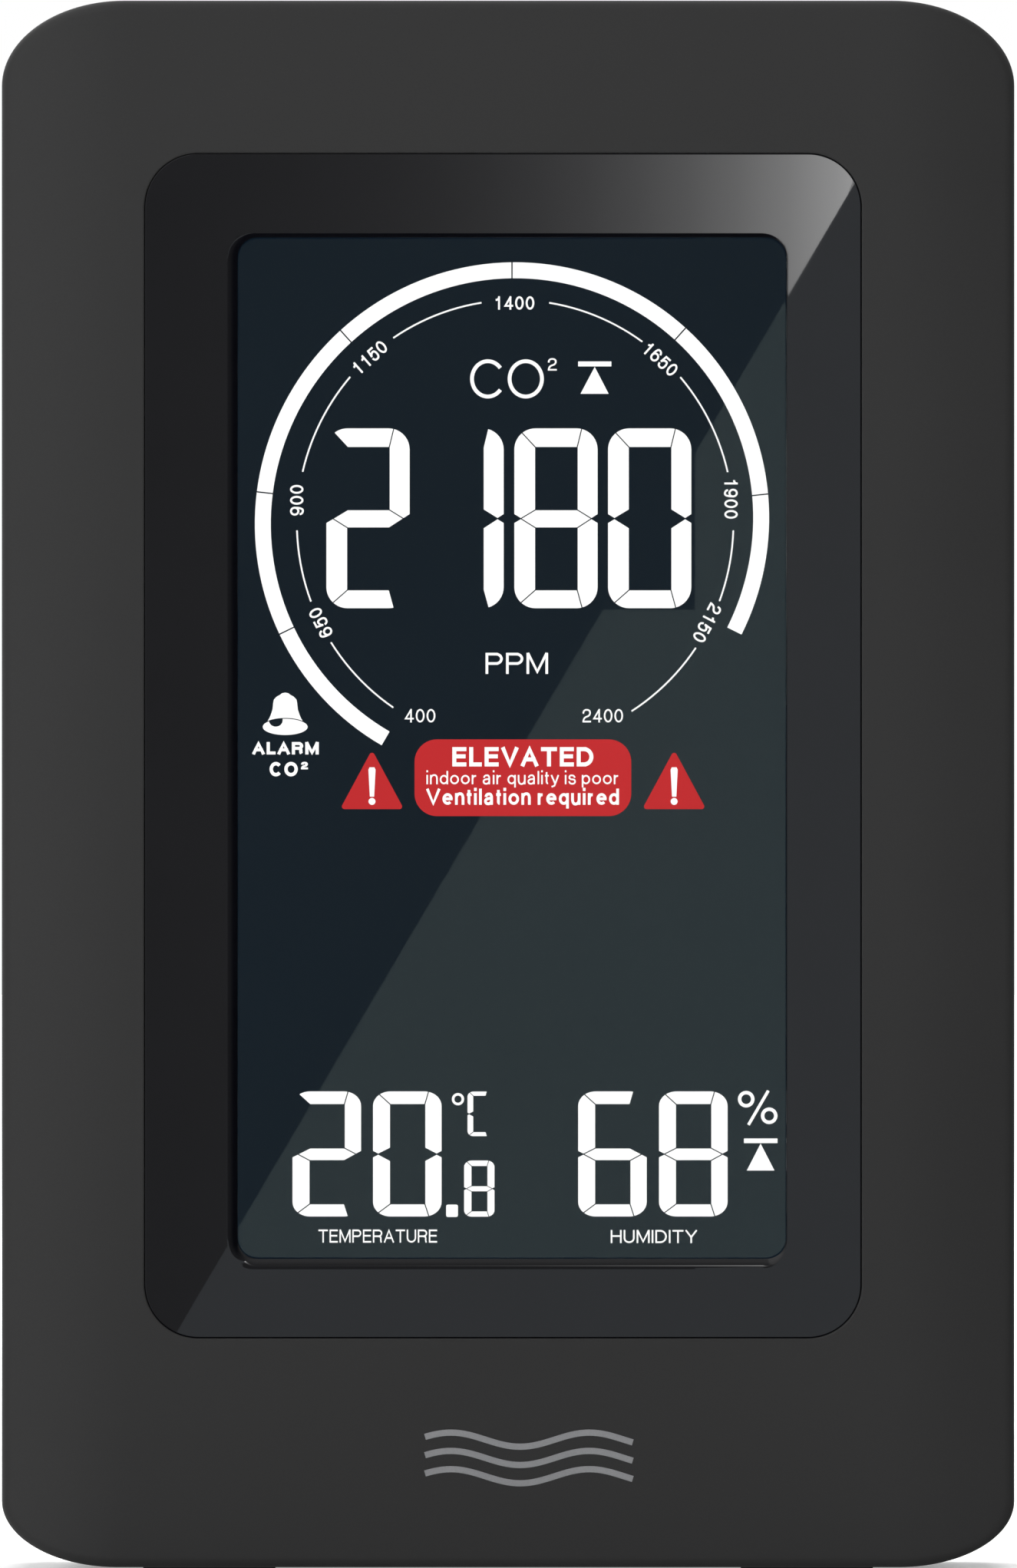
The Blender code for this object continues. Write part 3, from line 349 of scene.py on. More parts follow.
def quarter(steps, first=0):
    """Steps round a quarter circle, each as (1 - cos, 1 - sin): from (0, 1) to (1, 0)."""
    turns = [math.radians(90 * step / steps) for step in range(first, steps + 1)]
    return [(1 - math.cos(turn), 1 - math.sin(turn)) for turn in turns]


def oval(centre, radii, sides):
    return arc(centre, radii, 0, 360 - 360 / sides, sides - 1)


def rectangle(half, top, bottom=None, steps=6, centre=(0.0, 0.0)):
    """A rectangle with elliptical corners, anticlockwise from its right side."""
    bottom = bottom or top
    corners = ((1, 1, top, 0), (-1, 1, top, 90), (-1, -1, bottom, 180), (1, -1, bottom, 270))
    points = []
    for side_x, side_z, radii, start in corners:
        middle = (centre[0] + side_x * (half[0] - radii[0]), centre[1] + side_z * (half[1] - radii[1]))
        points += arc(middle, radii, start, start + 90, steps)
    return points


def flat(outline, y):
    return [(x, y, z) for x, z in outline]


def prism(outline, y_range):
    """An outline given thickness along Y."""
    return loft([flat(outline, y_range[0]), flat(outline, y_range[1])])


def bar(low, high, y_range):
    """A plain block between two corners, each (x, z)."""
    return prism([low, (high[0], low[1]), high, (low[0], high[1])], y_range)


def band(outer, inner, y_range, closed=False):
    """A flat ribbon between two matching lines of points, with thickness along Y."""
    points = [point for y in y_range for outline in (outer, inner) for point in flat(outline, y)]
    count = len(outer)
    faces = []
    for index in range(count if closed else count - 1):
        a, b = index, (index + 1) % count
        c, d = count + b, count + a
        back = 2 * count
        faces += [(a, b, c, d), (back + d, back + c, back + b, back + a)]
        faces += [(b, a, back + a, back + b), (d, c, back + c, back + d)]
    if not closed:
        for end in (0, count - 1):
            faces.append((end, count + end, 3 * count + end, 2 * count + end))
    return points, faces


def placed(outline, centre, turn=0.0):
    """Points turned clockwise by so many degrees and moved to a place."""
    cos, sin = math.cos(math.radians(turn)), math.sin(math.radians(turn))
    return [(centre[0] + x * cos + z * sin, centre[1] - x * sin + z * cos) for x, z in outline]


def ring_arc(centre, radius, width, start, end, y_range, closed=False, stretch=(0.0, 0.0)):
    """Part of a ring, by its middle radius and its angles clockwise from the top.

    The two numbers of stretch lengthen it upright and on the slant from lower left to upper right.
    """
    steps = max(int(abs(end - start) / 2.0), 6)
    turns = [math.radians(start + (end - start) * i / steps) for i in range(steps + (0 if closed else 1))]
    lines = []
    for side in (width / 2, -width / 2):
        line = []
        for t in turns:
            r = radius + side + stretch[0] * math.cos(2 * t) + stretch[1] * math.sin(2 * t)
            line.append((centre[0] + r * math.sin(t), centre[1] + r * math.cos(t)))
        lines.append(line)
    return band(*lines, y_range, closed)


def stroke(line, width, y_range):
    """A ribbon of even width along a line of points, with mitred corners."""
    closed = len(line) > 6 and (Vector(line[0]) - Vector(line[-1])).length < 1e-6
    line = line[:-1] if closed else line
    count = len(line)
    left, right = [], []
    for index, point in enumerate(line):
        here = Vector(point)
        sides = []
        for other, way in ((index - 1, 1), (index + 1, -1)):
            if closed or 0 <= other < count:
                along = (here - Vector(line[other % count])).normalized() * way
                sides.append(Vector((-along.y, along.x)))
        side = sum(sides, Vector((0.0, 0.0))).normalized()
        reach = min(1 / max(side.dot(sides[0]), 0.2), MITRE_LIMIT) * width / 2
        left.append(tuple(here + side * reach))
        right.append(tuple(here - side * reach))
    return band(left, right, y_range, closed)


def shrunk(outline, gap):
    """The outline moved inwards by gap, whichever way it runs."""
    count = len(outline)
    area = sum(a[0] * b[1] - b[0] * a[1] for a, b in zip(outline, outline[1:] + outline[:1]))
    way = 1.0 if area > 0 else -1.0
    moved = []
    for index in range(count):
        before, here, after = (Vector(outline[(index + k) % count]) for k in (-1, 0, 1))
        first, second = (here - before).normalized(), (after - here).normalized()
        inward_first = Vector((-first.y, first.x)) * way
        inward_second = Vector((-second.y, second.x)) * way
        bisector = inward_first + inward_second
        scale = max(1.0 + inward_first.dot(inward_second), 0.35)
        moved.append(tuple(here + bisector * gap / scale))
    return moved


def spline(points, steps=5):
    """A smooth line from the first point to the last, steered by the points between."""
    line = [points[0]]
    here = points[0]
    for index in range(1, len(points) - 1):
        pull, after = points[index], points[index + 1]
        last = index == len(points) - 2
        end = after if last else ((pull[0] + after[0]) / 2, (pull[1] + after[1]) / 2)
        for step in range(1, steps + 1):
            t = step / steps
            shares = ((1 - t) ** 2, 2 * t * (1 - t), t * t)
            line.append(tuple(shares[0] * here[k] + shares[1] * pull[k] + shares[2] * end[k] for k in (0, 1)))
        here = end
    return line


# Letters as lines in a cell one wide and one capital tall: L straight, S smooth, E part of an
# oval (middle, radii, first and last angle). The first number is the letter's width.
BOWL = (0.5, 0.33, 0.5, 0.33)
WHOLE_BOWL = ("E", (*BOWL, 0, 360))
HEAD = (("L", [(0.66, 1), (0, 1), (0, 0)]), ("E", (0.62, 0.745, 0.38, 0.255, -90, 90)),
        ("L", [(0.66, 0.49), (0, 0.49)]))
LEFT_STEM, MIDDLE_STEM, RIGHT_STEM = (("L", [(x, 0), (x, 1)]) for x in (0, 0.5, 1))
GLYPHS = {
    "0": (0.66, ("E", (0.5, 0.5, 0.5, 0.5, 0, 360))),
    "1": (0.66, ("L", [(0.66, 0), (0.66, 1)]), ("S", [(0.16, 0.76), (0.6, 0.76), (0.66, 1)])),
    "2": (0.66, ("S", [(0.02, 0.67), (0.02, 1.0), (0.98, 1.0), (0.98, 0.5), (0.06, 0.34), (0.02, 0.0)]),
          ("L", [(0.02, 0), (1, 0)])),
    "4": (0.68, ("L", [(0.74, 0), (0.74, 0.96)]), ("L", [(0.74, 1), (0.02, 0.25), (1, 0.25)])),
    "5": (0.66, ("L", [(0.92, 1), (0.2, 1), (0.08, 0.47)]),
          ("S", [(0.08, 0.46), (0.3, 0.68), (0.98, 0.70), (0.98, -0.02), (0.06, -0.04), (0.01, 0.26)])),
    "6": (0.66, ("E", (0.5, 0.32, 0.5, 0.32, 0, 360)),
          ("S", [(0.95, 0.76), (0.88, 1.02), (0.0, 1.06), (0.0, 0.32)])),
    "9": (0.66, ("E", (0.5, 0.68, 0.5, 0.32, 0, 360)),
          ("S", [(0.05, 0.24), (0.12, -0.02), (1.0, -0.06), (1.0, 0.68)])),
    "A": (0.90, ("L", [(0, 0), (0.5, 1), (1, 0)]), ("L", [(0.2, 0.33), (0.8, 0.33)])),
    "C": (0.92, ("E", (0.5, 0.5, 0.5, 0.5, 40, 320))),
    "D": (0.88, ("L", [(0.45, 1), (0, 1), (0, 0), (0.45, 0)]), ("E", (0.42, 0.5, 0.58, 0.5, -92, 92))),
    "E": (0.74, ("L", [(1, 1), (0, 1), (0, 0), (1, 0)]), ("L", [(0, 0.53), (0.92, 0.53)])),
    "H": (0.84, LEFT_STEM, RIGHT_STEM, ("L", [(0, 0.54), (1, 0.54)])),
    "I": (0.0, MIDDLE_STEM),
    "L": (0.66, ("L", [(0, 1), (0, 0), (1, 0)])),
    "M": (1.0, LEFT_STEM, RIGHT_STEM, ("L", [(0.03, 1), (0.5, 0.05), (0.97, 1)])),
    "O": (0.98, ("E", (0.5, 0.5, 0.5, 0.5, 0, 360))),
    "P": (0.80, *HEAD),
    "R": (0.84, *HEAD, ("S", [(0.6, 0.49), (0.94, 0.47), (0.88, 0.06), (0.99, -0.06)])),
    "T": (0.84, ("L", [(0, 1), (1, 1)]), MIDDLE_STEM),
    "U": (0.84, ("L", [(0, 0.4), (0, 1)]), ("L", [(1, 0.4), (1, 1)]),
          ("E", (0.5, 0.36, 0.5, 0.36, 178, 362))),
    "V": (0.88, ("L", [(0, 1), (0.5, 0), (1, 1)])),
    "Y": (0.88, ("L", [(0, 1), (0.5, 0.44), (1, 1)]), ("L", [(0.5, 0), (0.5, 0.4)])),
    "a": (0.62, ("S", [(0.06, 0.48), (0.1, 0.69), (0.9, 0.71), (0.88, 0.40)]),
          ("L", [(0.88, 0.42), (0.88, 0)]),
          ("S", [(0.88, 0.38), (0.0, 0.38), (0.0, -0.03), (0.8, -0.03), (0.88, 0.22)])),
    "d": (0.64, RIGHT_STEM, WHOLE_BOWL),
    "e": (0.66, ("L", [(0.02, 0.34), (0.98, 0.34)]), ("E", (*BOWL, 0, 316))),
    "i": (0.0, ("L", [(0.5, 0), (0.5, 0.66)]), ("L", [(0.5, 1.03), (0.5, 1.06)])),
    "l": (0.0, MIDDLE_STEM),
    "n": (0.60, ("L", [(0, 0), (0, 0.66)]), ("S", [(0, 0.40), (0.06, 0.70), (1.0, 0.74), (1.0, 0.36)]),
          ("L", [(1, 0.38), (1, 0)])),
    "o": (0.68, WHOLE_BOWL),
    "p": (0.64, ("L", [(0, -0.28), (0, 0.66)]), WHOLE_BOWL),
    "q": (0.64, ("L", [(1, -0.28), (1, 0.66)]), WHOLE_BOWL),
    "r": (0.40, ("L", [(0, 0), (0, 0.66)]), ("S", [(0, 0.36), (0.1, 0.68), (1.0, 0.64)])),
    "s": (0.58, ("S", [(0.93, 0.48), (0.88, 0.68), (0.03, 0.70), (0.03, 0.35), (0.98, 0.35), (0.98, -0.03),
                       (0.04, -0.03), (0.0, 0.19)])),
    "t": (0.32, ("L", [(0.4, 0.9), (0.4, 0.16)]), ("S", [(0.4, 0.2), (0.4, -0.01), (1.0, 0.0)]),
          ("L", [(0.05, 0.66), (0.95, 0.66)])),
    "u": (0.60, ("L", [(1, 0), (1, 0.66)]), ("L", [(0, 0.66), (0, 0.32)]),
          ("S", [(0, 0.34), (0.0, -0.06), (0.94, -0.04), (1.0, 0.3)])),
    "y": (0.62, ("L", [(0, 0.66), (0.5, 0.02)]), ("L", [(1, 0.66), (0.42, -0.2), (0.1, -0.27)])),
}
SPACE = 0.30
BEARING = 0.15


def glyph_lines(sign, weight):
    """The letter's lines in units of the capital's height, and its outer width."""
    width, *strokes = GLYPHS[sign]
    wide = max(width, weight)
    lines = []
    for kind, data in strokes:
        if kind == "E":
            x, y, across, up, first, last = data
            line = arc((x, y), (across, up), first, last, max(int(abs(last - first) / 12), 8))
        else:
            line = spline(data) if kind == "S" else list(data)
        line = [(weight / 2 + x * (wide - weight), weight / 2 + y * (1 - weight)) for x, y in line]
        if kind == "L":
            for end, inner in ((0, 1), (-1, -2)):
                way = (Vector(line[end]) - Vector(line[inner])).normalized()
                line[end] = tuple(Vector(line[end]) + way * weight / 2)
        lines.append(line)
    return lines, wide


def lettering(text, width, height, centre, y_range, weight=0.14, turn=0.0):
    """Plain lettering fitted to a width and a capital's height, centred on a place."""
    pen, lines = 0.0, []
    for sign in text:
        if sign == " ":
            pen += SPACE
            continue
        strokes, wide = glyph_lines(sign, weight)
        lines += [[(pen + x, y) for x, y in line] for line in strokes]
        pen += wide + BEARING
    pen -= BEARING
    across = width / pen
    points, faces = joined(stroke(line, weight, y_range) for line in lines)
    fitted = [((x - pen / 2) * across, (z - 0.5) * height) for x, _, z in points]
    moved = placed(fitted, centre, turn)
    return [(x, y, z) for (x, z), (_, y, _) in zip(moved, points)], faces


def shifted(parts, x, z):
    return [([(p[0] + x, p[1], p[2] + z) for p in points], faces) for points, faces in parts]


def carved(obj, cutters):
    """Takes cutter shapes out of a piece, and leaves a plain mesh."""
    obj.modifiers.clear()
    helpers = [solid("cutter", [part]) for part in cutters]
    for helper in helpers:
        change = obj.modifiers.new("cut", "BOOLEAN")
        change.object = helper
        change.operation = "DIFFERENCE"
        change.solver = "EXACT"
    graph = bpy.context.evaluated_depsgraph_get()
    graph.update()
    made = bpy.data.meshes.new_from_object(obj.evaluated_get(graph))
    obj.modifiers.clear()
    obj.data = made
    for helper in helpers:
        bpy.data.objects.remove(helper)
    ease(obj)


def block(low, high, corner=0.3, steps=4):
    """A block with rounded edges all round, between two corners."""
    middle = [(a + b) / 2 for a, b in zip(low, high)]
    half = [(b - a) / 2 for a, b in zip(low, high)]
    rings = []
    for up, inward in quarter(steps):
        inset = corner * inward
        outline = rectangle((half[0] - inset, half[1] - inset), (corner, corner), steps=steps)
        rings.append((outline, corner * up - half[2]))
    rings += [(outline, -z) for outline, z in reversed(rings)]
    lifted = [[(middle[0] + x, middle[1] + y, middle[2] + z) for x, y in outline] for outline, z in rings]
    return loft(lifted)


def turned(profile, centre, axis="Y"):
    """A turned solid; profile holds (distance along the axis, radius)."""
    rings = []
    for along, radius in profile:
        circle = oval((0.0, 0.0), (radius, radius), 40)
        if axis == "Y":
            rings.append([(centre[0] + a, centre[1] + along, centre[2] + b) for a, b in circle])
        else:
            rings.append([(centre[0] + along, centre[1] + a, centre[2] + b) for a, b in circle])
    return loft(rings)


def refined(node, body):
    """A copy of a CAD node with its points joined, so that rounded faces shade smoothly."""
    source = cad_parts[node]
    mesh = source.data.copy()
    custom = mesh.attributes.get("custom_normal")
    if custom:
        mesh.attributes.remove(custom)
    bm = bmesh.new()
    bm.from_mesh(mesh)
    bmesh.ops.remove_doubles(bm, verts=bm.verts, dist=2e-6)
    bmesh.ops.dissolve_degenerate(bm, edges=bm.edges, dist=1e-6)
    bmesh.ops.dissolve_limit(bm, angle_limit=math.radians(0.4), verts=bm.verts, edges=bm.edges)
    outward(bm, mesh)
    obj = linked(node + "_shell", mesh)
    ease(obj)
    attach(obj, body)
    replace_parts(obj, node)


# ---- Front frame ----
TOP_CORNER = (14.8, 10.2)
BOTTOM_CORNER = (13.9, 7.9)
CASE_HALF = (CASE_HIGH.x, (CASE_HIGH.z - CASE_LOW.z) / 2)
CASE_MID_Z = (CASE_HIGH.z + CASE_LOW.z) / 2
FRAME_BACK_Y = -3.15
CROWN_FLAT = 46.0
CROWN_DROP = 2.2
FRONT_FILLET = 1.2
TOUCH_GAP = 0.15
OPENING_HALF = [(PANEL_HIGH[axis] - PANEL_LOW[axis]) / 2 + TOUCH_GAP for axis in (0, 2)]
PANEL_CENTRE = [(PANEL_HIGH[axis] + PANEL_LOW[axis]) / 2 for axis in (0, 2)]
PANEL_CORNER = 6.5
OPENING_ROUND = 0.2
LEDGE_Y = FRONT_Y + 1.5
LEDGE_BACK_Y = FRONT_Y + 2.4
WALL = 2.2
LEDGE_INSET = 2.0
REBATE_INSET = 1.15
REBATE_Y = FRAME_BACK_Y - 1.95
FACE_ROWS = (0.01, 0.08, 0.16, 0.25, 0.34, 0.44, 0.54, 0.65, 0.77, 0.9, 0.995, 1.0)


def case_outline(inset):
    """The case seen from the front, with its wider corners at the top."""
    top, bottom = ([max(radius - inset, 1.0) for radius in corner] for corner in (TOP_CORNER, BOTTOM_CORNER))
    half = (CASE_HALF[0] - inset, CASE_HALF[1] - inset)
    return rectangle(half, top, bottom, 28, (0.0, CASE_MID_Z))


def panel_outline(inset, steps=28):
    half = (OPENING_HALF[0] - inset, OPENING_HALF[1] - inset)
    radius = PANEL_CORNER - inset
    return rectangle(half, (radius, radius), steps=steps, centre=PANEL_CENTRE)


def front_y(x):
    """The front's crown: flat in the middle, falling back towards the sides."""
    beyond = max(abs(x) - CROWN_FLAT, 0.0) / (CASE_HALF[0] - CROWN_FLAT)
    return FRONT_Y + CROWN_DROP * beyond**2


def crowned(outline, behind=0.0):
    return [(x, front_y(x) + behind, z) for x, z in outline]


def mixed(first, second, share):
    """An outline part of the way from one to another."""
    return [(a[0] + (b[0] - a[0]) * share, a[1] + (b[1] - a[1]) * share) for a, b in zip(first, second)]


def frame_shell():
    """The front frame as one skin: outside, face, opening, ledge and the hollow behind."""
    rings = [flat(case_outline(0.0), FRAME_BACK_Y), flat(case_outline(0.0), FRAME_BACK_Y - 0.01)]
    for across, deep in quarter(10):
        rings.append(crowned(case_outline(FRONT_FILLET * across), FRONT_FILLET * deep))
    rim = panel_outline(-OPENING_ROUND)
    for share in FACE_ROWS:
        rings.append(crowned(mixed(case_outline(FRONT_FILLET), rim, share)))
    for deep, across in quarter(6, 1):
        rings.append(flat(panel_outline(-OPENING_ROUND * across), FRONT_Y + OPENING_ROUND * deep))
    ledge = ((0.0, LEDGE_Y), (LEDGE_INSET, LEDGE_Y), (LEDGE_INSET, LEDGE_BACK_Y))
    rings += [flat(panel_outline(inset), y) for inset, y in ledge]
    rings.append(crowned(case_outline(WALL), WALL))
    rebate = ((WALL, REBATE_Y), (REBATE_INSET, REBATE_Y), (REBATE_INSET, FRAME_BACK_Y))
    rings += [flat(case_outline(inset), y) for inset, y in rebate]
    return loft(rings, closed=True)


def pad_pocket(node, gap=0.2):
    """Room for a rubber pad in the frame's underside."""
    low, high = box_mm(node)
    return bar((low.x - gap, -1.0), (high.x + gap, high.z + gap), (low.y - gap, high.y + gap))


front = finished("front_frame_shell", [frame_shell()], "satin_plastic")
carved(front, [pad_pocket("base_pad_front_left"), pad_pocket("base_pad_front_right")])
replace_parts(front, "front_frame")

# ---- Display panel ----
FACE_Y = PANEL_LOW.y
PANEL_BACK_Y = PANEL_HIGH.y
PANEL_BEVEL = 0.13
PANEL_GAP = 0.03
FACE_EDGE = 0.02
WINDOW_HALF = (33.0, 61.45)
WINDOW_CORNER = 2.4
LIP_WIDE = 1.25
LIP_DEEP = 0.25
LIP_START = math.radians(25)
LIP_STEPS = 12
LIP_RIGHT, LIP_TOP = 0.1, 0.4


def window_outline(grow):
    """The window grown for its lip: fully at the left and below, less above, hardly at the right."""
    right, above = grow * LIP_RIGHT, grow * LIP_TOP
    half = (WINDOW_HALF[0] + (grow + right) / 2, WINDOW_HALF[1] + (grow + above) / 2)
    centre = (CELL_X + (right - grow) / 2, CELL_Z + (above - grow) / 2)
    across = WINDOW_CORNER + (grow + right) / 2
    top, bottom = (across, WINDOW_CORNER + above), (across, WINDOW_CORNER + grow)
    return rectangle(half, top, bottom, 28, centre)


def panel_shell():
    """The glossy panel: a fine bevel outside, and a hollow lip down to the window."""
    rings = [flat(panel_outline(PANEL_GAP), PANEL_BACK_Y)]
    for across, deep in quarter(12):
        rings.append(flat(panel_outline(PANEL_GAP + PANEL_BEVEL * across), FACE_Y + PANEL_BEVEL * deep))
    rings.append(flat(panel_outline(PANEL_GAP + PANEL_BEVEL + FACE_EDGE), FACE_Y))
    rings.append(flat(window_outline(LIP_WIDE + FACE_EDGE), FACE_Y))
    for step in range(LIP_STEPS + 1):
        turn = LIP_START + (math.pi / 2 - LIP_START) * step / LIP_STEPS
        grow = LIP_WIDE * (1 - math.sin(turn)) / (1 - math.sin(LIP_START))
        sunk = LIP_DEEP * (1 - math.cos(turn) / math.cos(LIP_START))
        rings.append(flat(window_outline(grow), FACE_Y + sunk))
    rings.append(flat(window_outline(0.0), PANEL_BACK_Y))
    return loft(rings, closed=True)


panel = finished("display_panel", [panel_shell()], "gloss_black")
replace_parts(panel, "display_surround")

# ---- Display graphics ----
# Places below are from the middle of the cell. Each shape stands a few hundredths off its film.
LIT = (CELL_LOW.y - 0.12, CELL_LOW.y - 0.04)
ABOVE = (CELL_LOW.y - 0.20, CELL_LOW.y - 0.13)


def show(name, *parts, slot="segment_white"):
    finished(name, shifted(parts, CELL_X, CELL_Z), slot, smooth=False)


# The level ring, cut by fine dividers, and the thin dial inside it. Angles are clockwise from the top.
RING = (0.01, 27.39)
RING_RADIUS, RING_WIDTH, RING_OVAL = 30.11, 1.92, (0.087, 0.191)
DIVIDERS = (-150.0, -116.0, -83.5, -42.0, 0.0, 42.0, 84.0, 116.5)
CUT = 0.15
show("level_ring", *(ring_arc(RING, RING_RADIUS, RING_WIDTH, start + CUT, end - CUT, LIT, stretch=RING_OVAL)
                     for start, end in zip(DIVIDERS, DIVIDERS[1:])))

THIN = ((-146.6, -123.0), (-111.1, -92.0), (-76.5, -48.5), (-33.4, -8.7), (8.8, 35.1), (48.6, 76.6),
        (92.0, 111.0), (124.7, 148.3))
DIAL = (0.39, 27.16)
DIAL_RADIUS, DIAL_WIDTH, DIAL_OVAL = 26.57, 0.2, (0.268, 0.0)
show("dial_arcs", *(ring_arc(DIAL, DIAL_RADIUS, DIAL_WIDTH, start, end, LIT, stretch=DIAL_OVAL)
                    for start, end in THIN))

# Each number with its place around the dial and its turn: the two at the sides stand upright.
DIAL_NUMBERS = (("650", -117.7, -117.7), ("900", -84.5, -90.0), ("1150", -41.5, -41.5), ("1400", 0.0, 0.0),
                ("1650", 42.0, 42.0), ("1900", 84.0, 90.0), ("2150", 117.8, 117.8))
NUMBERS, NUMBERS_RADIUS = (0.25, 27.35), 26.3
NUMBER_WIDTH, NUMBER_HEIGHT = {3: 3.7, 4: 4.9}, 1.62
numbers = []
for text, angle, turn in DIAL_NUMBERS:
    way = math.radians(angle)
    centre = (NUMBERS[0] + NUMBERS_RADIUS * math.sin(way), NUMBERS[1] + NUMBERS_RADIUS * math.cos(way))
    numbers.append(lettering(text, NUMBER_WIDTH[len(text)], NUMBER_HEIGHT, centre, LIT, 0.15, turn))
for text, x in (("400", -11.07), ("2400", 10.94)):
    numbers.append(lettering(text, NUMBER_WIDTH[len(text)], NUMBER_HEIGHT, (x, 3.91), LIT, 0.125))
show("dial_numbers", *numbers)


# Seven segments in the cell of the largest digit, from its lower left. The bars meet in slanted cuts
# on the round corners, given by their angles, and in points at half height.
DIGIT_WIDE, DIGIT_TALL = 10.16, 21.8
DIGIT_CORNER = 2.6
INNER_LEFT, INNER_RIGHT = 2.63, 7.63
INNER_LOW, INNER_TOP = 2.28, 19.43
BAR_LOW, BAR_MID, BAR_TOP = 9.74, 10.86, 11.93
END_LOW, END_TOP = 10.37, 11.37
TIP_LEFT, TIP_RIGHT = 0.84, 9.36
CUT_TOP_LEFT, CUT_TOP_RIGHT, CUT_LOW_RIGHT, CUT_LOW_LEFT = 129, 76, -75, -133


def digit_corner(right, top, start, end, steps=8):
    """Part of a round corner of the digit; right and top are 1 or 0."""
    x = DIGIT_WIDE - DIGIT_CORNER if right else DIGIT_CORNER
    z = DIGIT_TALL - DIGIT_CORNER if top else DIGIT_CORNER
    return arc((x, z), (DIGIT_CORNER, DIGIT_CORNER), start, end, steps)


def segment_outlines():
    """The seven bars a to g, named as usual: a on top, clockwise to f, and g across the middle."""
    top_left, top_right = (INNER_LEFT, INNER_TOP), (INNER_RIGHT, INNER_TOP)
    over_left, over_right = (INNER_LEFT, BAR_TOP), (INNER_RIGHT, BAR_TOP)
    tip_left, tip_right = (TIP_LEFT, BAR_MID), (TIP_RIGHT, BAR_MID)
    under_left, under_right = (INNER_LEFT, BAR_LOW), (INNER_RIGHT, BAR_LOW)
    low_left, low_right = (INNER_LEFT, INNER_LOW), (INNER_RIGHT, INNER_LOW)
    return {
        "a": [*digit_corner(0, 1, CUT_TOP_LEFT, 90, 5), *digit_corner(1, 1, 90, CUT_TOP_RIGHT, 3),
              top_right, top_left],
        "b": [*digit_corner(1, 1, CUT_TOP_RIGHT, 0), (DIGIT_WIDE, END_TOP), tip_right, over_right, top_right],
        "c": [(DIGIT_WIDE, END_LOW), *digit_corner(1, 0, 0, CUT_LOW_RIGHT), low_right, under_right,
              tip_right],
        "d": [*digit_corner(1, 0, CUT_LOW_RIGHT, -90, 3), *digit_corner(0, 0, -90, CUT_LOW_LEFT, 5),
              low_left, low_right],
        "e": [*digit_corner(0, 0, CUT_LOW_LEFT, -180), (0.0, END_LOW), tip_left, under_left, low_left],
        "f": [*digit_corner(0, 1, 180, CUT_TOP_LEFT), top_left, over_left, tip_left, (0.0, END_TOP)],
        "g": [tip_left, over_left, over_right, tip_right, under_right, under_left],
    }


SEGMENTS = segment_outlines()
DIGITS = {"0": "abcdef", "1": "bc", "2": "abged", "6": "acdefg", "8": "abcdefg", "C": "adef"}


def digit(sign, left, bottom, width, height, gap=0.062):
    """A sign in lit bars, each set back by gap from its neighbours."""
    parts = []
    for segment in DIGITS[sign]:
        outline = [(left + x / DIGIT_WIDE * width, bottom + z / DIGIT_TALL * height)
                   for x, z in SEGMENTS[segment]]
        parts.append(prism(shrunk(outline, gap), LIT))
    return parts


BIG_BASE, LAST_BIG = 16.8, 11.52
big = []
for sign, left in zip("2180", (-22.42, -11.09, 0.23, LAST_BIG)):
    big += digit(sign, left, BIG_BASE, DIGIT_WIDE, DIGIT_TALL)
show("co2_digits", *big)

LOW_BASE = -56.5
LOW_SIZE, TENTHS_SIZE, UNIT_SIZE = (8.39, 15.2), (3.74, 6.85), (2.98, 5.46)
low = digit("2", -26.5, LOW_BASE, *LOW_SIZE) + digit("0", -16.8, LOW_BASE, *LOW_SIZE)
low += digit("8", -5.8, LOW_BASE, *TENTHS_SIZE, 0.04) + digit("C", -5.39, -46.8, *UNIT_SIZE, 0.04)
low.append(prism(rectangle((0.715, 0.75), (0.22, 0.22), centre=(-7.215, -55.75)), LIT))
low.append(ring_arc((-6.5, -42.3), 0.585, 0.31, 0, 360, LIT, True))
show("temperature_digits", *low)

damp = digit("6", 7.92, LOW_BASE, *LOW_SIZE) + digit("8", 17.66, LOW_BASE, *LOW_SIZE)
for centre in ((28.23, -42.3), (31.0, -44.3)):
    damp.append(ring_arc(centre, 0.79, 0.42, 0, 360, LIT, True))
damp.append(stroke([(28.5, -45.4), (30.9, -41.27)], 0.36, LIT))
show("humidity_digits", *damp)


def peak_icon(bar_low, bar_high, base_left, base_right, apex):
    """The highest-value sign: a bar over a triangle that points up at it."""
    return [bar(bar_low, bar_high, LIT), prism([base_left, base_right, apex], LIT)]


show("peak_sign_upper", *peak_icon((7.98, 46.0), (11.99, 46.6), (8.26, 42.7), (11.66, 42.7), (9.98, 45.95)))
show("peak_sign_lower", *peak_icon((27.96, -47.6), (32.0, -47.03), (28.3, -50.9), (31.64, -50.9),
                                   (29.97, -47.65)))

# The gas sign is drawn larger and finer than the lettering, as two oval lines and a raised 2.
GAS_LINE = 0.46
letter_c = [arc((-2.9, 44.5), (2.14 - inset, 2.36 - inset), 38, 322, 48) for inset in (0.0, GAS_LINE)]
letter_o = [oval((1.67, 44.5), (2.18 - inset, 2.36 - inset), OVAL_STEPS) for inset in (0.0, GAS_LINE)]
raised_2 = lettering("2", 1.1, 1.5, (4.86, 46.25), LIT, 0.13)
show("gas_sign", band(*letter_c, LIT), band(*letter_o, LIT, True), raised_2)
show("unit_sign", lettering("PPM", 7.54, 2.55, (0.59, 10.22), LIT, 0.125))


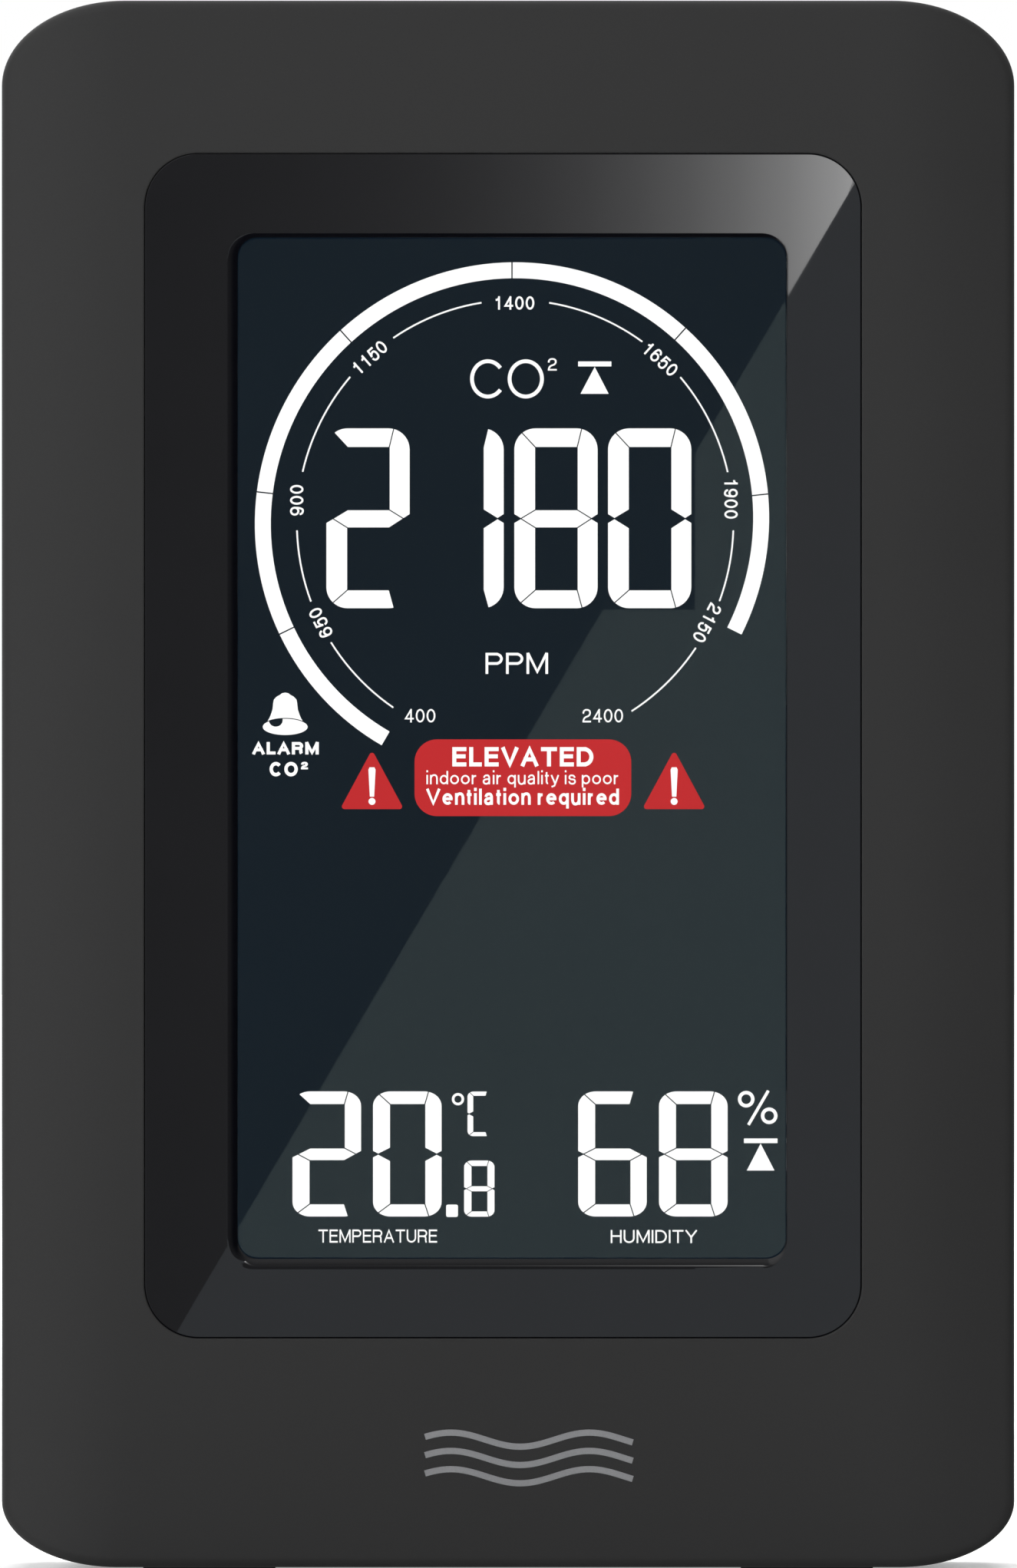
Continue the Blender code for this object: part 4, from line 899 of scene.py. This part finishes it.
def bell():
    """A hand bell: a dome with a flared skirt, over the oval of its rim with the mouth cut out of it."""
    side = [(-2.03, 0.86), (-1.91, 1.05), (-1.70, 1.55), (-1.52, 2.13), (-1.45, 2.85), (-1.37, 3.28),
            (-1.05, 3.64), (-0.60, 3.88), (-0.42, 4.05)]
    skirt = arc((0.0, 0.0), (2.83, 1.08), 42, 138, 12)
    dome = [*side, (0.0, 4.14), *((-x, z) for x, z in reversed(side)), *skirt]
    mouth = arc((-1.13, 0.80), (0.83, 0.77), 190, 360, 12)
    rim = [*arc((0.0, 0.0), (2.71, 0.98), 96.4, -224, 36), *mouth]
    return dome, rim


show("alarm_bell", *(prism(placed(outline, (-27.32, 2.56)), LIT) for outline in bell()))
show("alarm_caption", lettering("ALARM", 8.0, 1.5, (-27.27, -0.01), LIT, 0.24),
     lettering("CO", 3.4, 1.75, (-27.5, -2.53), LIT, 0.24),
     lettering("2", 0.85, 0.92, (-25.0, -2.1), LIT, 0.26))


def rounded_triangle(apex, base_z, left, right, radius=0.32):
    """A triangle on a level base, each corner drawn as an arc in it."""
    corners = [Vector(apex), Vector((right, base_z)), Vector((left, base_z))]
    points = []
    for index, corner in enumerate(corners):
        before = (corners[index - 1] - corner).normalized()
        after = (corners[(index + 1) % 3] - corner).normalized()
        half = before.angle(after) / 2
        reach = radius / math.tan(half)
        middle = corner + (before + after).normalized() * radius / math.sin(half)
        start, end = corner + before * reach, corner + after * reach
        for step in range(7):
            point = start.lerp(end, step / 6)
            points.append(tuple(middle + (point - middle).normalized() * radius))
    return points


for hand, apex_x in (("left", -16.86), ("right", 19.55)):
    outline = rounded_triangle((apex_x, -0.2), -7.35, apex_x - 3.85, apex_x + 3.85)
    show(f"notice_triangle_{hand}", prism(outline, LIT), slot="segment_red")
    mark = [(-0.43, -2.6), (-0.3, -2.31), (0.3, -2.31), (0.43, -2.6), (0.26, -5.85), (-0.26, -5.85)]
    dot = oval((apex_x, -6.42), (0.42, 0.42), 24)
    show(f"notice_mark_{hand}", prism([(apex_x + a, b) for a, b in mark], ABOVE), prism(dot, ABOVE))

banner = rectangle((13.055, 4.625), (2.7, 2.7), steps=12, centre=(1.325, -3.565))
show("banner_plate", prism(banner, LIT), slot="segment_red")
show("banner_words", lettering("ELEVATED", 17.0, 2.33, (1.32, -1.04), ABOVE, 0.21),
     lettering("indoor air quality is poor", 23.2, 1.6, (1.3, -3.55), ABOVE, 0.125),
     lettering("Ventilation required", 23.2, 1.95, (1.3, -5.85), ABOVE, 0.175))
show("temperature_caption", lettering("TEMPERATURE", 14.3, 1.58, (-16.16, -58.8), LIT, 0.13))
show("humidity_caption", lettering("HUMIDITY", 10.4, 1.58, (17.1, -58.85), LIT, 0.13))

# ---- Printing on the case ----
HALF_WAVES, WAVE_HIGH, WAVE_START, WAVE_STEPS = 3, 0.85, 0.4, 48
INK = 0.02


def airflow(centre, length, pitch, width, y_range):
    """Three wavy lines, one above another."""
    parts = []
    for row in (-1, 0, 1):
        line = []
        for step in range(WAVE_STEPS + 1):
            share = step / WAVE_STEPS
            lift = WAVE_HIGH * math.sin(share * HALF_WAVES * math.pi + WAVE_START)
            line.append((centre[0] + (share - 0.5) * length, centre[1] + row * pitch + lift))
        parts.append(stroke(line, width, y_range))
    return parts


waves = airflow((2.5, 13.6), 25.0, 2.2, 0.75, (FRONT_Y - INK, FRONT_Y + 0.01))
finished("airflow_mark", waves, "print_grey", smooth=False)

# ---- Rear ----
for name, body in (("rear_cover", "case"), ("stand", "stand")):
    refined(name, body)
for name in ("mode", "up", "down", "alarm"):
    refined(f"button_{name}", f"key_{name}")


def middle_of(node):
    low, high = box_mm(node)
    return (low + high) / 2


# Screw heads: a domed pan with a crossed recess.
HEAD_PROFILE = ((-8.3, 0.7), (-7.3, 1.15), (5.2, 1.15), (5.2, 2.45), (5.32, 2.6), (6.25, 2.6), (6.6, 2.5),
                (6.88, 2.25), (7.08, 1.85), (7.18, 1.3), (7.2, 0.9))
RECESS_LONG, RECESS_HALF, RECESS_FLOOR, RECESS_END = 1.7, 0.35, 6.2, 8.0
for index in (1, 2, 3, 4):
    node = f"case_screw_{index}"
    middle = middle_of(node)
    screw = finished(f"{node}_turned", [turned(HEAD_PROFILE, (middle.x, 0.0, middle.z))], "steel")
    arms = []
    for a, b in ((RECESS_LONG, RECESS_HALF), (RECESS_HALF, RECESS_LONG)):
        near = (middle.x - a, RECESS_FLOOR, middle.z - b)
        arms.append(block(near, (middle.x + a, RECESS_END, middle.z + b), 0.05, 2))
    carved(screw, arms)
    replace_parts(screw, node)

# Rubber pads: under the base, and on the foot of the stand.
CORNERS = ("front_left", "front_right", "rear_left", "rear_right")
pads = [(f"base_pad_{corner}", 0.4, "case") for corner in CORNERS]
for node, rounding, body in (*pads, ("stand_pad", 0.3, "stand")):
    pad = finished(f"{node}_moulded", [block(*box_mm(node), rounding)], "dark_rubber", body)
    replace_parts(pad, node)

# Inlet: a rounded block with a deep bore and a lead-in, and the pin inside it.
BORE, BORE_MOUTH, LEAD_IN = 3.15, 3.6, 0.5
low, high = box_mm("dc_jack")
pin_low, pin_high = box_mm("dc_jack_pin")
axis = middle_of("dc_jack_pin")
start, tip = pin_low.x, pin_high.x
jack = finished("dc_jack_moulded", [block(low, high, 0.4)], "black_epoxy")
bore = ((start - 0.15, BORE), (high.x - LEAD_IN, BORE), (high.x + 0.01, BORE_MOUTH),
        (high.x + 1.0, BORE_MOUTH))
carved(jack, [turned(bore, (0.0, axis.y, axis.z), "X")])
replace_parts(jack, "dc_jack")
pin = ((start, 1.0), (tip - 0.8, 1.0), (tip - 0.35, 0.9), (tip - 0.1, 0.68), (tip, 0.35))
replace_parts(finished("dc_jack_pin_turned", [turned(pin, (0.0, axis.y, axis.z), "X")], "steel"), "dc_jack_pin")

# Dust screen: two layers of crossing threads.
THREAD, THREAD_PITCH = 0.28, 0.8
low, high = box_mm("vent_screen")
mid_y = (low.y + high.y) / 2
threads = []
for index in range(int((high.x - low.x) / THREAD_PITCH)):
    x = low.x + 0.6 + index * THREAD_PITCH
    threads.append(bar((x, low.z), (x + THREAD, high.z), (low.y, mid_y)))
for index in range(int((high.z - low.z) / THREAD_PITCH)):
    z = low.z + 0.4 + index * THREAD_PITCH
    threads.append(bar((low.x, z), (high.x, z + THREAD), (mid_y, high.y)))
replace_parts(finished("dust_screen", threads, "screen_mesh", smooth=False), "vent_screen")

# Rating plate, with a border and signs that name no maker: direct current, polarity, double insulation.
PLATE_CORNER = 1.3
low, high = box_mm("rating_plate")
plate_x, plate_z = (low.x + high.x) / 2, (low.z + high.z) / 2
plate_half = ((high.x - low.x) / 2, (high.z - low.z) / 2)


def plate_outline(inset):
    half, radius = (plate_half[0] - inset, plate_half[1] - inset), PLATE_CORNER - inset
    return rectangle(half, (radius, radius), steps=10, centre=(plate_x, plate_z))


edges = ((0.0, low.y), (0.0, high.y - 0.08), (0.03, high.y - 0.02), (0.08, high.y))
plate = loft([flat(plate_outline(inset), y) for inset, y in edges])
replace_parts(finished("rating_plate_film", [plate], "label_film"), "rating_plate")


def level(left, right, z, width, y_range):
    """A level line."""
    return stroke([(left, z), (right, z)], width, y_range)


def direct_current(centre, size, y_range):
    """A line over three dashes."""
    x, z = centre
    line, half = 0.16 * size, 0.24
    parts = [level(x - size, x + size, z + 0.22 * size, line, y_range)]
    for place in (-0.73, 0.0, 0.73):
        left, right = x + (place - half) * size, x + (place + half) * size
        parts.append(level(left, right, z - 0.3 * size, line, y_range))
    return parts


def polarity(centre, size, y_range):
    """A plus and a minus in rings, joined to a dot inside an open ring."""
    x, z = centre
    line = 0.16 * size
    plus_x, minus_x = x - 2.6 * size, x + 2.6 * size
    parts = []
    for middle in (plus_x, minus_x):
        parts.append(ring_arc((middle, z), 0.62 * size, line, 0, 360, y_range, True))
        parts.append(level(middle - 0.3 * size, middle + 0.3 * size, z, line, y_range))
    for way in (1, -1):
        upright = [(plus_x, z + way * 0.31 * size), (plus_x, z + way * 0.09 * size)]
        parts.append(stroke(upright, line, y_range))
    parts.append(level(x - 1.92 * size, x - 0.34 * size, z, line, y_range))
    parts.append(level(x + 1.05 * size, x + 1.92 * size, z, line, y_range))
    parts.append(prism(oval((x, z), (0.3 * size, 0.3 * size), 24), y_range))
    parts.append(ring_arc((x, z), 0.95 * size, line, 125, 415, y_range))
    return parts


def double_square(centre, size, y_range):
    """One square inside another."""
    parts = []
    for half in (size, 0.55 * size):
        corners = [(centre[0] + a * half, centre[1] + b * half)
                   for a, b in ((1, 1), (-1, 1), (-1, -1), (1, -1), (1, 1))]
        parts += [stroke(side, 0.14 * size, y_range) for side in zip(corners, corners[1:])]
    return parts


BORDER_INSET, BORDER_WIDTH, SIGN_PITCH = 0.9, 0.22, 14.5
ink_y = (high.y - 0.005, high.y + INK)
border = plate_outline(BORDER_INSET)
signs = [band(border, shrunk(border, BORDER_WIDTH), ink_y, True)]
signs += direct_current((plate_x + SIGN_PITCH, plate_z), 2.4, ink_y)
signs += polarity((plate_x, plate_z), 1.7, ink_y)
signs += double_square((plate_x - SIGN_PITCH, plate_z), 2.3, ink_y)
finished("rating_plate_print", signs, "black_epoxy", smooth=False)

# Signs pressed on the keys, and the one beside the inlet.
KEY_TOP_Y = box_mm("button_mode")[1].y
key_y = (KEY_TOP_Y - 0.01, KEY_TOP_Y + INK)
KEY_LINE = 0.32


def key_sign(name, parts):
    finished(f"key_sign_{name}", parts, "print_grey", f"key_{name}", smooth=False)


spot = middle_of("button_mode")
key_sign("mode", [ring_arc((spot.x, spot.z), 1.05, KEY_LINE, 30, 330, key_y),
                  stroke([(spot.x, spot.z + 0.1), (spot.x, spot.z + 1.25)], KEY_LINE, key_y)])
for name, way in (("up", 1), ("down", -1)):
    spot = middle_of(f"button_{name}")
    base = spot.z - 0.85 * way
    triangle = [(spot.x - 1.35, base), (spot.x + 1.35, base), (spot.x, spot.z + 1.05 * way)]
    key_sign(name, [prism(triangle, key_y)])
spot = middle_of("button_alarm")
dome = [(0.95, -0.45), (0.85, -0.25), *arc((0.0, 0.3), (0.73, 0.78), 0, 180, 12), (-0.85, -0.25),
        (-0.95, -0.45)]
clapper = arc((0.0, -1.08), (0.36, 0.34), 180, 360, 8)
parts = [prism(placed(outline, (spot.x, spot.z)), key_y) for outline in (dome, clapper)]
parts.append(level(spot.x - 1.15, spot.x + 1.15, spot.z - 0.8, 0.26, key_y))
key_sign("alarm", parts)
sign = direct_current((51.0, axis.z), 2.0, (REAR_Y - 0.01, REAR_Y + INK))
finished("inlet_sign", sign, "print_grey", smooth=False)

# ---- Studio ----
REACH = 2200.0
VIEW_X, VIEW_Z, VIEW_PLANE_Y = 0.05, 94.69, -12.8
VIEW_TALL = 188.77
SENSOR = 36.0
NEAREST, FURTHEST = 0.05, 50.0

camera_data = bpy.data.cameras.new("camera")
camera_data.sensor_width = SENSOR
camera_data.lens = SENSOR * REACH / VIEW_TALL
camera_data.clip_start = NEAREST
camera_data.clip_end = FURTHEST
camera = linked("camera", camera_data)
camera.location = Vector((VIEW_X, VIEW_PLANE_Y - REACH, VIEW_Z)) * MM
camera.rotation_euler = (math.radians(90), 0.0, 0.0)
bpy.context.scene.camera = camera
bpy.context.scene.view_settings.view_transform = "Standard"


def stage_mesh(name, points, surface):
    """One flat face of the studio."""
    mesh = bpy.data.meshes.new(name)
    mesh.from_pydata([Vector(point) * MM for point in points], [], [tuple(range(len(points)))])
    mesh.materials.append(surface)
    obj = linked(name, mesh)
    return obj


def floor_material():
    """A pale floor that glows more the further it runs, so that it has no far edge."""
    made, tree, shader = blank("pale_floor")
    where = place_in(tree)
    drift = noise(tree, where, 120.0, 3.0)
    away = add(tree, "ShaderNodeVectorMath", {0: where}, operation="LENGTH").outputs["Value"]
    feed(shader, {
        "Base Color": tones(tree, drift, (0.86, 0.86, 0.86), (0.9, 0.9, 0.9)),
        "Roughness": 0.8,
        "Emission Color": WHITE,
        "Emission Strength": rescale(tree, away, 0.15, 1.6, 0.31, 1.0, True),
    })
    return made


FLOOR_HALF = 6000.0
corners = [(a * FLOOR_HALF, b * FLOOR_HALF, 0.0) for a, b in ((-1, -1), (1, -1), (1, 1), (-1, 1))]
floor = stage_mesh("floor", corners, floor_material())
floor.visible_glossy = False
floor.visible_transmission = False

GLARE_AT = (-7.39, 83.8)
GLARE_SLANT = 0.59
SWEEP_LEFT, SWEEP_RIGHT = -44.5, 45.5
SWEEP_BASE, SWEEP_RISE, SWEEP_REACH = 0.265, 0.43, 14.9
SWEEP_TOP = 10.0
SWEEP_STOPS = 15
CARD_AHEAD = 1000.0
CARD_Y = FACE_Y - CARD_AHEAD
CARD_SCALE = 1 + CARD_AHEAD / (REACH + FACE_Y - VIEW_PLANE_Y)


def on_card(x, z):
    """Where the mirror image of a place on the panel falls on a card ahead of it."""
    return (VIEW_X + (x - VIEW_X) * CARD_SCALE, CARD_Y, VIEW_Z + (z - VIEW_Z) * CARD_SCALE)


def glare_x(z):
    """Where the slanted edge of the glare is at a height."""
    return GLARE_AT[0] + GLARE_SLANT * (z - GLARE_AT[1])


def glare_z(x):
    return GLARE_AT[1] + (x - GLARE_AT[0]) / GLARE_SLANT


def card(name, outline, surface):
    """A light card that only reflected and transmitted rays can see."""
    made = stage_mesh(name, [on_card(x, z) for x, z in outline], surface)
    for kind in ("visible_camera", "visible_diffuse", "visible_volume_scatter", "visible_shadow"):
        setattr(made, kind, False)


def emitter(name, colour, strength):
    made, tree, _ = blank(name)
    tree.nodes.clear()
    glow = add(tree, "ShaderNodeEmission", {"Color": (*colour, 1.0), "Strength": strength})
    add(tree, "ShaderNodeOutputMaterial", {"Surface": glow.outputs[0]})
    return made, tree, glow


GLARE = 0.68
CARD_LOW, CARD_HIGH, CARD_RIGHT = 10.0, 185.0, 48.0
# The glare stops short of the large digits: its card is cut away beside and under them.
clear_x, clear_z = CELL_X + LAST_BIG + DIGIT_WIDE + 0.4, CELL_Z + BIG_BASE - 0.1
sheet = [(glare_x(CARD_LOW), CARD_LOW), (CARD_RIGHT, CARD_LOW), (CARD_RIGHT, CARD_HIGH)]
sheet += [(glare_x(CARD_HIGH), CARD_HIGH), (clear_x, glare_z(clear_x)), (clear_x, clear_z)]
sheet.append((glare_x(clear_z), clear_z))
card("glare_card", sheet, emitter("glare_glow", (0.94, 1.0, 1.05), GLARE)[0])

SPARE = 0.2
bend = WINDOW_CORNER + SPARE
window_top = CELL_Z + WINDOW_HALF[1] + SPARE
window_right = CELL_X + WINDOW_HALF[0] + SPARE
window_left = CELL_X - WINDOW_HALF[0] - SPARE
strip = [(SWEEP_LEFT, glare_z(SWEEP_LEFT)), (window_left, glare_z(window_left)), (window_left, window_top)]
strip += arc((window_right - bend, window_top - bend), (bend, bend), 90, 0, 8)
strip += [(window_right, glare_z(window_right)), (glare_x(CARD_HIGH), CARD_HIGH), (SWEEP_LEFT, CARD_HIGH)]


def sweep_material():
    """A glow that grows ever faster from left to right, as one long soft light beside the object gives."""
    made, tree, glow = emitter("sweep_glow", (1.0, 1.0, 1.0), SWEEP_TOP)
    x = add(tree, "ShaderNodeSeparateXYZ", {"Vector": place_in(tree)}).outputs["X"]
    left, right = (on_card(place, 0)[0] * MM for place in (SWEEP_LEFT, SWEEP_RIGHT))
    stops = []
    for step in range(SWEEP_STOPS + 1):
        share = step / SWEEP_STOPS
        place = SWEEP_LEFT + share * (SWEEP_RIGHT - SWEEP_LEFT)
        shine = SWEEP_BASE + SWEEP_RISE * math.exp(place / SWEEP_REACH)
        stops.append((share, (shine / SWEEP_TOP,) * 3))
    feed(glow, {"Color": ramp(tree, rescale(tree, x, left, right, 0.0, 1.0), stops)})
    return made


card("sweep_card", strip, sweep_material())


def area_light(name, place, target, size, watts):
    """A soft light that no reflection shows."""
    data = bpy.data.lights.new(name, "AREA")
    data.shape = "RECTANGLE"
    data.size, data.size_y = size
    data.energy = watts
    obj = linked(name, data)
    obj.location = place
    obj.rotation_euler = (Vector(target) - Vector(place)).to_track_quat("-Z", "Y").to_euler()
    obj.visible_glossy = False


area_light("key_light", (-1.6, -2.5, 0.6), (0, 0, 0.1), (1.2, 1.0), 53.0)
area_light("top_light", (0.0, 0.5, 1.9), (0, 0.1, 0.0), (1.6, 1.2), 30.0)
area_light("rear_light_left", (-1.3, 1.4, 0.9), (0, 0, 0.1), (0.9, 0.9), 26.0)
area_light("rear_light_right", (1.3, 1.4, 0.9), (0, 0, 0.1), (0.9, 0.9), 14.0)

BASE_GLOW = 0.21
AMBIENT = 0.17


def studio_world():
    """A white backdrop, an even dim light, and the soft glows that reflections show."""
    world = bpy.data.worlds.new("studio")
    bpy.context.scene.world = world
    world.use_nodes = True
    tree = world.node_tree
    tree.nodes.clear()

    def fade(value, low, high, out_low, out_high):
        return rescale(tree, value, low, high, out_low, out_high, True)

    def pick(share, first, second):
        """The first value where share is 0, and the second where it is 1."""
        return add(tree, "ShaderNodeMix", {0: share, 2: first, 3: second}, data_type="FLOAT").outputs[0]

    path = add(tree, "ShaderNodeLightPath").outputs
    way = add(tree, "ShaderNodeSeparateXYZ", {"Vector": add(tree, "ShaderNodeTexCoord").outputs["Generated"]})
    x, y, z = (way.outputs[i] for i in range(3))
    right = fade(x, 0.05, 0.30, 1.0, 0.02)
    aside = fade(maths(tree, "ABSOLUTE", x, 0.0), 0.35, 0.65, 0.0, 0.9)
    below = maths(tree, "MAXIMUM", fade(z, -0.28, -0.05, 0.02, 1.0), aside)
    left = maths(tree, "MULTIPLY", fade(x, -0.10, -0.03, 0.46, 0.0), fade(x, -0.85, -0.5, 0.1, 1.0))
    ahead = maths(tree, "ADD", left, BASE_GLOW)
    ahead = maths(tree, "MULTIPLY", maths(tree, "MULTIPLY", right, below), ahead)
    above, behind = fade(z, 0.08, 0.4, 0.0, 0.35), fade(y, 0.1, 0.7, 0.0, 0.15)
    shine = maths(tree, "ADD", maths(tree, "ADD", ahead, above), behind)
    mirrored = maths(tree, "MAXIMUM", path["Is Glossy Ray"], path["Is Transmission Ray"])
    strength = pick(path["Is Camera Ray"], pick(mirrored, AMBIENT, shine), 1.0)
    back = add(tree, "ShaderNodeBackground", {"Color": WHITE, "Strength": strength})
    add(tree, "ShaderNodeOutputWorld", {"Surface": back.outputs[0]})


studio_world()
